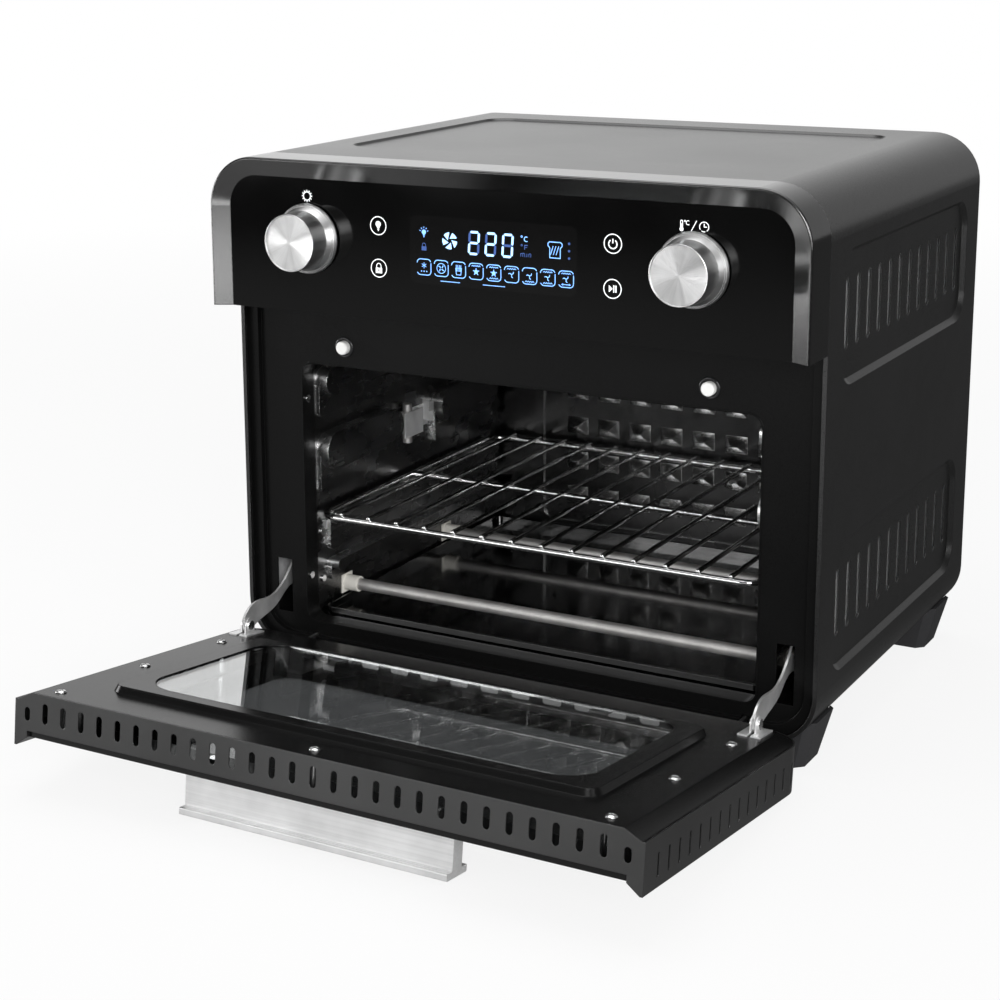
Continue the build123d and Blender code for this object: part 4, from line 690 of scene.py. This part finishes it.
def drawFries(x, z):
    cup = ((-2.0, 1.0), (-1.5, -3.0), (1.5, -3.0), (2.0, 1.0), (-2.0, 1.0))
    glow.band(moved(cup, x, z), 0.4)
    for fry in (-1.3, -0.4, 0.5, 1.3):
        glow.band([(x + fry, z - 1.0), (x + fry * 1.25, z + 2.9)], 0.45)


def drawStar(x, z):
    glow.disc(x, z - 0.2, 1.25, 10)
    glow.rays(x, z - 0.2, count=5, start=18, step=72, inner=1.1, outer=2.2, width=0.5)


def drawFan(x, z):
    for blade in range(3):
        angle = 120 * blade + 30
        glow.band([(x, z), onCircle(x, z, 1.3, angle), onCircle(x, z, 2.1, angle + 22.918)], 0.5)


def drawDoubleArrow(x, z):
    glow.band([(x - 2.6, z), (x + 2.6, z)], 0.4)
    for tip in (-1, 1):
        glow.shape([(x + tip * 3.1, z), (x + tip * 1.9, z + 0.7), (x + tip * 1.9, z - 0.7)])


for index in range(programmes["count"]):
    x, z = programmes["left"] + programmes["pitch"] * index, programmes["z"]
    outline = roundBox(x, z, programmes["size"], programmes["size"], programmes["corner"])
    half = len(outline) // 2
    glow.band(outline[1:half], programmes["line"])
    glow.band(outline[half + 1:] + outline[:1], programmes["line"])
    if index == 0:
        drawFrost(x, z)
    if index == 1:
        drawCrossFan(x, z)
    if index == 2:
        drawFries(x, z)
    if index in programmes["topHeat"]:
        drawWave(x, z + 3.3)
    if index in programmes["lowHeat"]:
        drawWave(x, z - 3.3)
    if index in programmes["stars"]:
        drawStar(x, z)
    if index in programmes["fans"]:
        drawFan(x, z)
    if index == programmes["count"] - 1:
        drawDoubleArrow(x, z - 3.2)
for start, end in programmes["strokes"]:
    glow.band([(start, programmes["strokeZ"]), (end, programmes["strokeZ"])], 0.4)
for board in (lit, glow, dim):
    board.done("display")
print("display lit")


# pieces grown by geometry nodes
def islands(nodeName):
    # the lowest and highest corner of each separate solid of a CAD node, with its points
    mesh = nodes[nodeName].data
    owner = list(range(len(mesh.vertices)))
    seen = {}

    def root(index):
        while owner[index] != index:
            owner[index] = owner[owner[index]]
            index = owner[index]
        return index

    for vertex in mesh.vertices:
        spot = tuple(round(c, 6) for c in vertex.co)
        owner[root(vertex.index)] = root(seen.setdefault(spot, vertex.index))
    for edge in mesh.edges:
        owner[root(edge.vertices[0])] = root(edge.vertices[1])
    groups = {}
    for vertex in mesh.vertices:
        groups.setdefault(root(vertex.index), []).append(vertex.co.copy())
    ordered = sorted(groups.values(), key=lambda group: tuple(round(c, 4) for c in group[0]))
    corners = []
    for group in ordered:
        low = Vector([min(c[axis] for c in group) for axis in range(3)])
        high = Vector([max(c[axis] for c in group) for axis in range(3)])
        corners.append((low, high, group))
    return corners


def newTree(name, inputs):
    # a geometry tree with named number inputs, given back as wires
    tree = bpy.data.node_groups.new(name, "GeometryNodeTree")
    tree.interface.new_socket(name="Geometry", in_out="INPUT", socket_type="NodeSocketGeometry")
    for key in inputs:
        tree.interface.new_socket(name=key, in_out="INPUT", socket_type="NodeSocketFloat")
    tree.interface.new_socket(name="Geometry", in_out="OUTPUT", socket_type="NodeSocketGeometry")
    entry = tree.nodes.new("NodeGroupInput")
    wires = {socket.name: Wire(tree, socket) for socket in entry.outputs if socket.name}
    return tree, wires


def endTree(tree, shape, wires, turn, finish):
    # one copy on each point, made real and given its material
    placed = addNode(tree, "GeometryNodeInstanceOnPoints", None,
                     {"Points": wires["Geometry"], "Instance": shape, "Rotation": turn})
    real = addNode(tree, "GeometryNodeRealizeInstances", None, {"Geometry": placed})
    dressed = addNode(tree, "GeometryNodeSetMaterial", None, {"Geometry": real, "Material": finish.material})
    leave = tree.nodes.new("NodeGroupOutput")
    tree.links.new(dressed.socket, leave.inputs[0])


def vector(tree, x, y, z):
    return addNode(tree, "ShaderNodeCombineXYZ", None, {0: x, 1: y, 2: z})


def transform(tree, shape, **change):
    return addNode(tree, "GeometryNodeTransform", None, {"Geometry": shape, **change})


def circle(tree, points, radius):
    return addNode(tree, "GeometryNodeCurvePrimitiveCircle", None, {"Resolution": points, "Radius": radius})


def grow(name, tree, points, sizes, finish, body):
    # a plain mesh from a tree that runs on the points
    mesh = bpy.data.meshes.new(name + "Points")
    mesh.from_pydata(points, [], [])
    seed = bpy.data.objects.new(name + "Seed", mesh)
    bpy.context.scene.collection.objects.link(seed)
    growth = seed.modifiers.new("growth", "NODES")
    growth.node_group = tree
    for item in tree.interface.items_tree:
        if item.in_out == "INPUT" and item.name in sizes:
            growth[item.identifier] = sizes[item.name]
    view = bpy.context.evaluated_depsgraph_get()
    result = bpy.data.meshes.new_from_object(seed.evaluated_get(view))
    seed.modifiers.remove(growth)
    bpy.data.objects.remove(seed)
    piece = bpy.data.objects.new(name, result)
    result.name = name
    if not result.materials:
        result.materials.append(finish.material)
    result.set_sharp_from_angle(angle=radians(35))
    bpy.context.scene.collection.objects.link(piece)
    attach(piece, body)
    print(name, "grown with", len(result.polygons), "faces")
    return piece


screwHead = {"Head Radius": 0.0034, "Head Height": 0.0017, "Shank Radius": 0.0015, "Shank Length": 0.0079,
             "Recess Width": 0.0009, "Recess Depth": 0.0011}
rearScrew = dict(screwHead, **{"Shank Length": 0.0066})


def screwTree(finish, turn):
    # a domed head with a cross recess on a plain shank, standing along Z, its seat at the point
    tree, size = newTree("crossHeadScrew", screwHead)
    radius, height, recess = size["Head Radius"], size["Head Height"], size["Recess Width"]
    ball = addNode(tree, "GeometryNodeMeshUVSphere", None, {"Segments": 28, "Rings": 14, "Radius": 1.0})
    ball = transform(tree, ball, Scale=vector(tree, radius, radius, height))
    cutters = []
    barMiddle = height - size["Recess Depth"] + height
    reach, deep = radius * 1.15, height * 2
    for extent in (vector(tree, reach, recess, deep), vector(tree, recess, reach, deep)):
        bar = addNode(tree, "GeometryNodeMeshCube", None, {"Size": extent})
        cutters.append(transform(tree, bar, Translation=vector(tree, 0.0, 0.0, barMiddle)))
    extent = vector(tree, radius * 3, radius * 3, deep)
    under = addNode(tree, "GeometryNodeMeshCube", None, {"Size": extent})
    cutters.append(transform(tree, under, Translation=vector(tree, 0.0, 0.0, height * -1.0)))
    head = addNode(tree, "GeometryNodeMeshBoolean", {"operation": "DIFFERENCE"},
                   {"Mesh 1": ball, "Mesh 2": cutters})
    shank = addNode(tree, "GeometryNodeMeshCylinder", None,
                    {"Vertices": 20, "Radius": size["Shank Radius"], "Depth": size["Shank Length"]})
    shank = transform(tree, shank, Translation=vector(tree, 0.0, 0.0, size["Shank Length"] * -0.5))
    whole = addNode(tree, "GeometryNodeJoinGeometry", None, {"Geometry": [head, shank]})
    endTree(tree, whole, size, turn, finish)
    return tree


def growScrews(name, nodeName, body, axis, sizes):
    # the seat of each head lies one head's height under its top
    axis = Vector(axis).normalized()
    points = []
    for low, high, group in islands(nodeName):
        middle = (low + high) / 2
        top = max(c.dot(axis) for c in group)
        points.append(middle + axis * (top - middle.dot(axis) - sizes["Head Height"]))
    turn = Vector((0, 0, 1)).rotation_difference(axis).to_euler()
    piece = grow(name, screwTree(finishes["screw"], turn), points, sizes, finishes["screw"], body)
    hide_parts(nodeName)


doorOpening = 83  # the door rests this many degrees from closed
doorUp = (0, cos(radians(doorOpening)), sin(radians(doorOpening)))
growScrews("doorScrewHeads", "door_screws", "door", doorUp, screwHead)
growScrews("rearScrewHeads", "rear_screws", "cabinet", (0, 1, 0), rearScrew)

doorSpring = {"Length": 0.0972, "Coil Radius": 0.0029, "Turns": 44.0, "Wire Radius": 0.00055}
springHold = {"inset": 0.0001, "anchorY": 0.146035, "keep": 0.54}


def coilTree(finish):
    # a tension spring along Y from its point
    tree, size = newTree("tensionCoil", doorSpring)
    helix = addNode(tree, "GeometryNodeCurveSpiral", None,
                    {"Resolution": 18, "Rotations": size["Turns"], "Start Radius": size["Coil Radius"],
                     "End Radius": size["Coil Radius"], "Height": size["Length"]})
    wire = circle(tree, 8, size["Wire Radius"])
    coil = addNode(tree, "GeometryNodeCurveToMesh", None,
                   {"Curve": helix, "Profile Curve": wire, "Fill Caps": True})
    endTree(tree, coil, size, (-pi / 2, 0, 0), finish)
    return tree


def frontPoints(nodeName, inset):
    # the middle of each solid in X and Z, a little behind its front end
    points = []
    for low, high, group in islands(nodeName):
        points.append(((low.x + high.x) / 2, low.y + inset, (low.z + high.z) / 2))
    return points


springEnds = frontPoints("door_springs", springHold["inset"])
springs = grow("doorSpringCoils", coilTree(finishes["plain"]), springEnds, doorSpring, finishes["plain"],
               "cabinet")
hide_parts("door_springs")
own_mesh(springs)

bumperSeat = {"Ring Radius": 0.0058, "Ring Thickness": 0.0011}
bumperSeatInset = 0.0045


def seatTree(finish):
    # a moulded ring round each bumper, lying in the frame's face
    tree, size = newTree("bumperSeatRing", bumperSeat)
    path = circle(tree, 48, size["Ring Radius"])
    section = circle(tree, 16, size["Ring Thickness"])
    ring = addNode(tree, "GeometryNodeCurveToMesh", None, {"Curve": path, "Profile Curve": section})
    endTree(tree, ring, size, (pi / 2, 0, 0), finish)
    return tree


seatPoints = frontPoints("door_bumpers", bumperSeatInset)
rings = grow("bumperSeatRings", seatTree(finishes["collar"]), seatPoints, bumperSeat, finishes["collar"],
             "cabinet")
print("geometry nodes pieces made")


# stage: floor, world, lamps, camera
scene = bpy.context.scene
floorSet = {
    "size": 14.0, "colour": 0.9, "whiteNear": 0.86, "whiteFar": 1.0, "fadeFrom": 0.6, "fadeTo": 2.2,
    "throughGlass": 0.4,
    # what gloss surfaces mirror: a broad pool of light at the left, and a bright spot ahead
    "poolX": -0.7, "poolY": -0.7, "poolFrom": 0.5, "poolTo": 1.4, "poolGlow": 0.42, "poolEdge": 0.07,
    "spotX": 0.2, "spotY": -1.7, "spotFrom": 0.3, "spotTo": 0.6, "spotGlow": 4.4,
}


def makeFloor():
    half = floorSet["size"] / 2
    mesh = bpy.data.meshes.new("floor")
    corners = [(-half, -half, 0), (half, -half, 0), (half, half, 0), (-half, half, 0)]
    mesh.from_pydata(corners, [], [(0, 1, 2, 3)])
    floor = bpy.data.objects.new("floor", mesh)
    scene.collection.objects.link(floor)
    made = bpy.data.materials.new("paleFloor")
    made.use_nodes = True
    tree = made.node_tree
    tree.nodes.clear()
    place = addNode(tree, "ShaderNodeTexCoord", out="Object")
    x, y = axisOf(tree, place, 0), axisOf(tree, place, 1)
    pool = remap(tree, distance(x - floorSet["poolX"], y - floorSet["poolY"]),
                 floorSet["poolFrom"], floorSet["poolTo"], floorSet["poolGlow"], floorSet["poolEdge"], True)
    spot = remap(tree, distance(x - floorSet["spotX"], y - floorSet["spotY"]),
                 floorSet["spotFrom"], floorSet["spotTo"], floorSet["spotGlow"], 0.0, True)
    colour = (floorSet["colour"], floorSet["colour"], floorSet["colour"], 1.0)
    matt = addNode(tree, "ShaderNodeBsdfDiffuse", None, {"Color": colour})
    white = addNode(tree, "ShaderNodeEmission", None, {"Color": (1, 1, 1, 1), "Strength": 1.0})
    mirrored = addNode(tree, "ShaderNodeEmission", None,
                       {"Color": (1, 1, 1, 1), "Strength": pool.math("MAXIMUM", spot)})
    camera = addNode(tree, "ShaderNodeLightPath", out="Is Camera Ray")
    through = addNode(tree, "ShaderNodeLightPath", out="Is Transmission Ray")
    glossy = addNode(tree, "ShaderNodeLightPath", out="Is Glossy Ray")
    whiteness = remap(tree, distance(x, y), floorSet["fadeFrom"], floorSet["fadeTo"],
                      floorSet["whiteNear"], floorSet["whiteFar"])
    share = (camera + through * floorSet["throughGlass"]) * whiteness
    shown = addNode(tree, "ShaderNodeMixShader", None, {0: share, 1: matt, 2: white})
    shown = addNode(tree, "ShaderNodeMixShader", None, {0: glossy, 1: shown, 2: mirrored})
    output = tree.nodes.new("ShaderNodeOutputMaterial")
    tree.links.new(shown.socket, output.inputs[0])
    mesh.materials.append(made)


# what gloss surfaces mirror of the world: light overhead, and light behind that is stronger at the left
sky = {"ambient": 0.3, "upFrom": 0.55, "upTo": 0.95, "upLow": 0.03, "upHigh": 0.9,
       "backFrom": 0.3, "backTo": 0.9, "backGlow": 1.25, "leftEnd": -0.6, "rightEnd": 0.2, "rightShare": 0.3}


def makeWorld():
    world = bpy.data.worlds.new("studio")
    scene.world = world
    world.use_nodes = True
    tree = world.node_tree
    tree.nodes.clear()
    direction = addNode(tree, "ShaderNodeTexCoord", out="Generated")
    x, y, z = [axisOf(tree, direction, axis) for axis in range(3)]
    up = remap(tree, z, sky["upFrom"], sky["upTo"], sky["upLow"], sky["upHigh"], True)
    back = remap(tree, y, sky["backFrom"], sky["backTo"], 0.0, sky["backGlow"], True)
    leftward = remap(tree, x, sky["leftEnd"], sky["rightEnd"], 1.0, sky["rightShare"])
    mirrored = up.math("MAXIMUM", back * leftward)
    camera = addNode(tree, "ShaderNodeLightPath", out="Is Camera Ray")
    through = addNode(tree, "ShaderNodeLightPath", out="Is Transmission Ray")
    glossy = addNode(tree, "ShaderNodeLightPath", out="Is Glossy Ray")
    plain = (camera + through).math("MINIMUM", 1.0)
    strength = plain + glossy * mirrored + (1 - plain) * (1 - glossy) * sky["ambient"]
    background = addNode(tree, "ShaderNodeBackground", None, {"Color": (1, 1, 1, 1), "Strength": strength})
    output = tree.nodes.new("ShaderNodeOutputWorld")
    tree.links.new(background.socket, output.inputs[0])


lamps = {
    "topSoftbox": {"place": (-0.2, 0.1, 1.7), "target": (0, 0, 0.1), "size": (1.6, 1.2), "energy": 11},
    "frontSoftbox": {"place": (1.3, -2.0, 1.0), "target": (0, 0, 0.15), "size": (0.9, 1.2), "energy": 32},
    "lowSoftbox": {"place": (-1.1, -2.0, 0.5), "target": (0, 0, 0.15), "size": (1.2, 0.8), "energy": 10},
    "leftStrip": {"place": (-1.45, -0.38, 0.27), "target": (0, 0, 0.2), "size": (0.5, 0.5), "energy": 7},
    "rightSoftbox": {"place": (2.1, -0.9, 0.7), "target": (0, 0, 0.15), "size": (0.8, 1.2), "energy": 14},
}


def makeLamp(name, settings):
    lamp = bpy.data.lights.new(name, "AREA")
    lamp.shape = "RECTANGLE"
    lamp.size, lamp.size_y = settings["size"]
    lamp.energy = settings["energy"]
    holder = bpy.data.objects.new(name, lamp)
    holder.location = settings["place"]
    holder.rotation_mode = "QUATERNION"
    aim = Vector(settings["target"]) - Vector(settings["place"])
    holder.rotation_quaternion = aim.to_track_quat("-Z", "Y")
    scene.collection.objects.link(holder)


cameraSet = {
    "azimuth": 30.176, "elevation": 12.988, "roll": -0.575, "place": (0.5808, -1.11116, 0.49745),
    "focalPixels": 2073.23, "centreX": 440.0, "centreY": 390.0, "imageSize": 1000, "sensor": 36.0,
}


def makeCamera():
    az, el, roll = (radians(cameraSet[key]) for key in ("azimuth", "elevation", "roll"))
    back = Vector((sin(az) * cos(el), -cos(az) * cos(el), sin(el)))
    right = Vector((cos(az), sin(az), 0))
    up = back.cross(right)
    turnedRight = right * cos(roll) + up * sin(roll)
    turnedUp = up * cos(roll) - right * sin(roll)
    size = cameraSet["imageSize"]
    data = bpy.data.cameras.new("camera")
    data.sensor_width = cameraSet["sensor"]
    data.lens = cameraSet["focalPixels"] / size * cameraSet["sensor"]
    data.shift_x = (size / 2 - cameraSet["centreX"]) / size
    data.shift_y = (cameraSet["centreY"] - size / 2) / size
    data.clip_start, data.clip_end = 0.05, 50.0
    camera = bpy.data.objects.new("camera", data)
    matrix = Matrix((turnedRight, turnedUp, back)).transposed().to_4x4()
    matrix.translation = Vector(cameraSet["place"])
    camera.matrix_world = matrix
    scene.collection.objects.link(camera)
    scene.camera = camera


makeFloor()
makeWorld()
for name, settings in lamps.items():
    makeLamp(name, settings)
makeCamera()
scene.view_settings.view_transform = "Standard"
print("stage set")
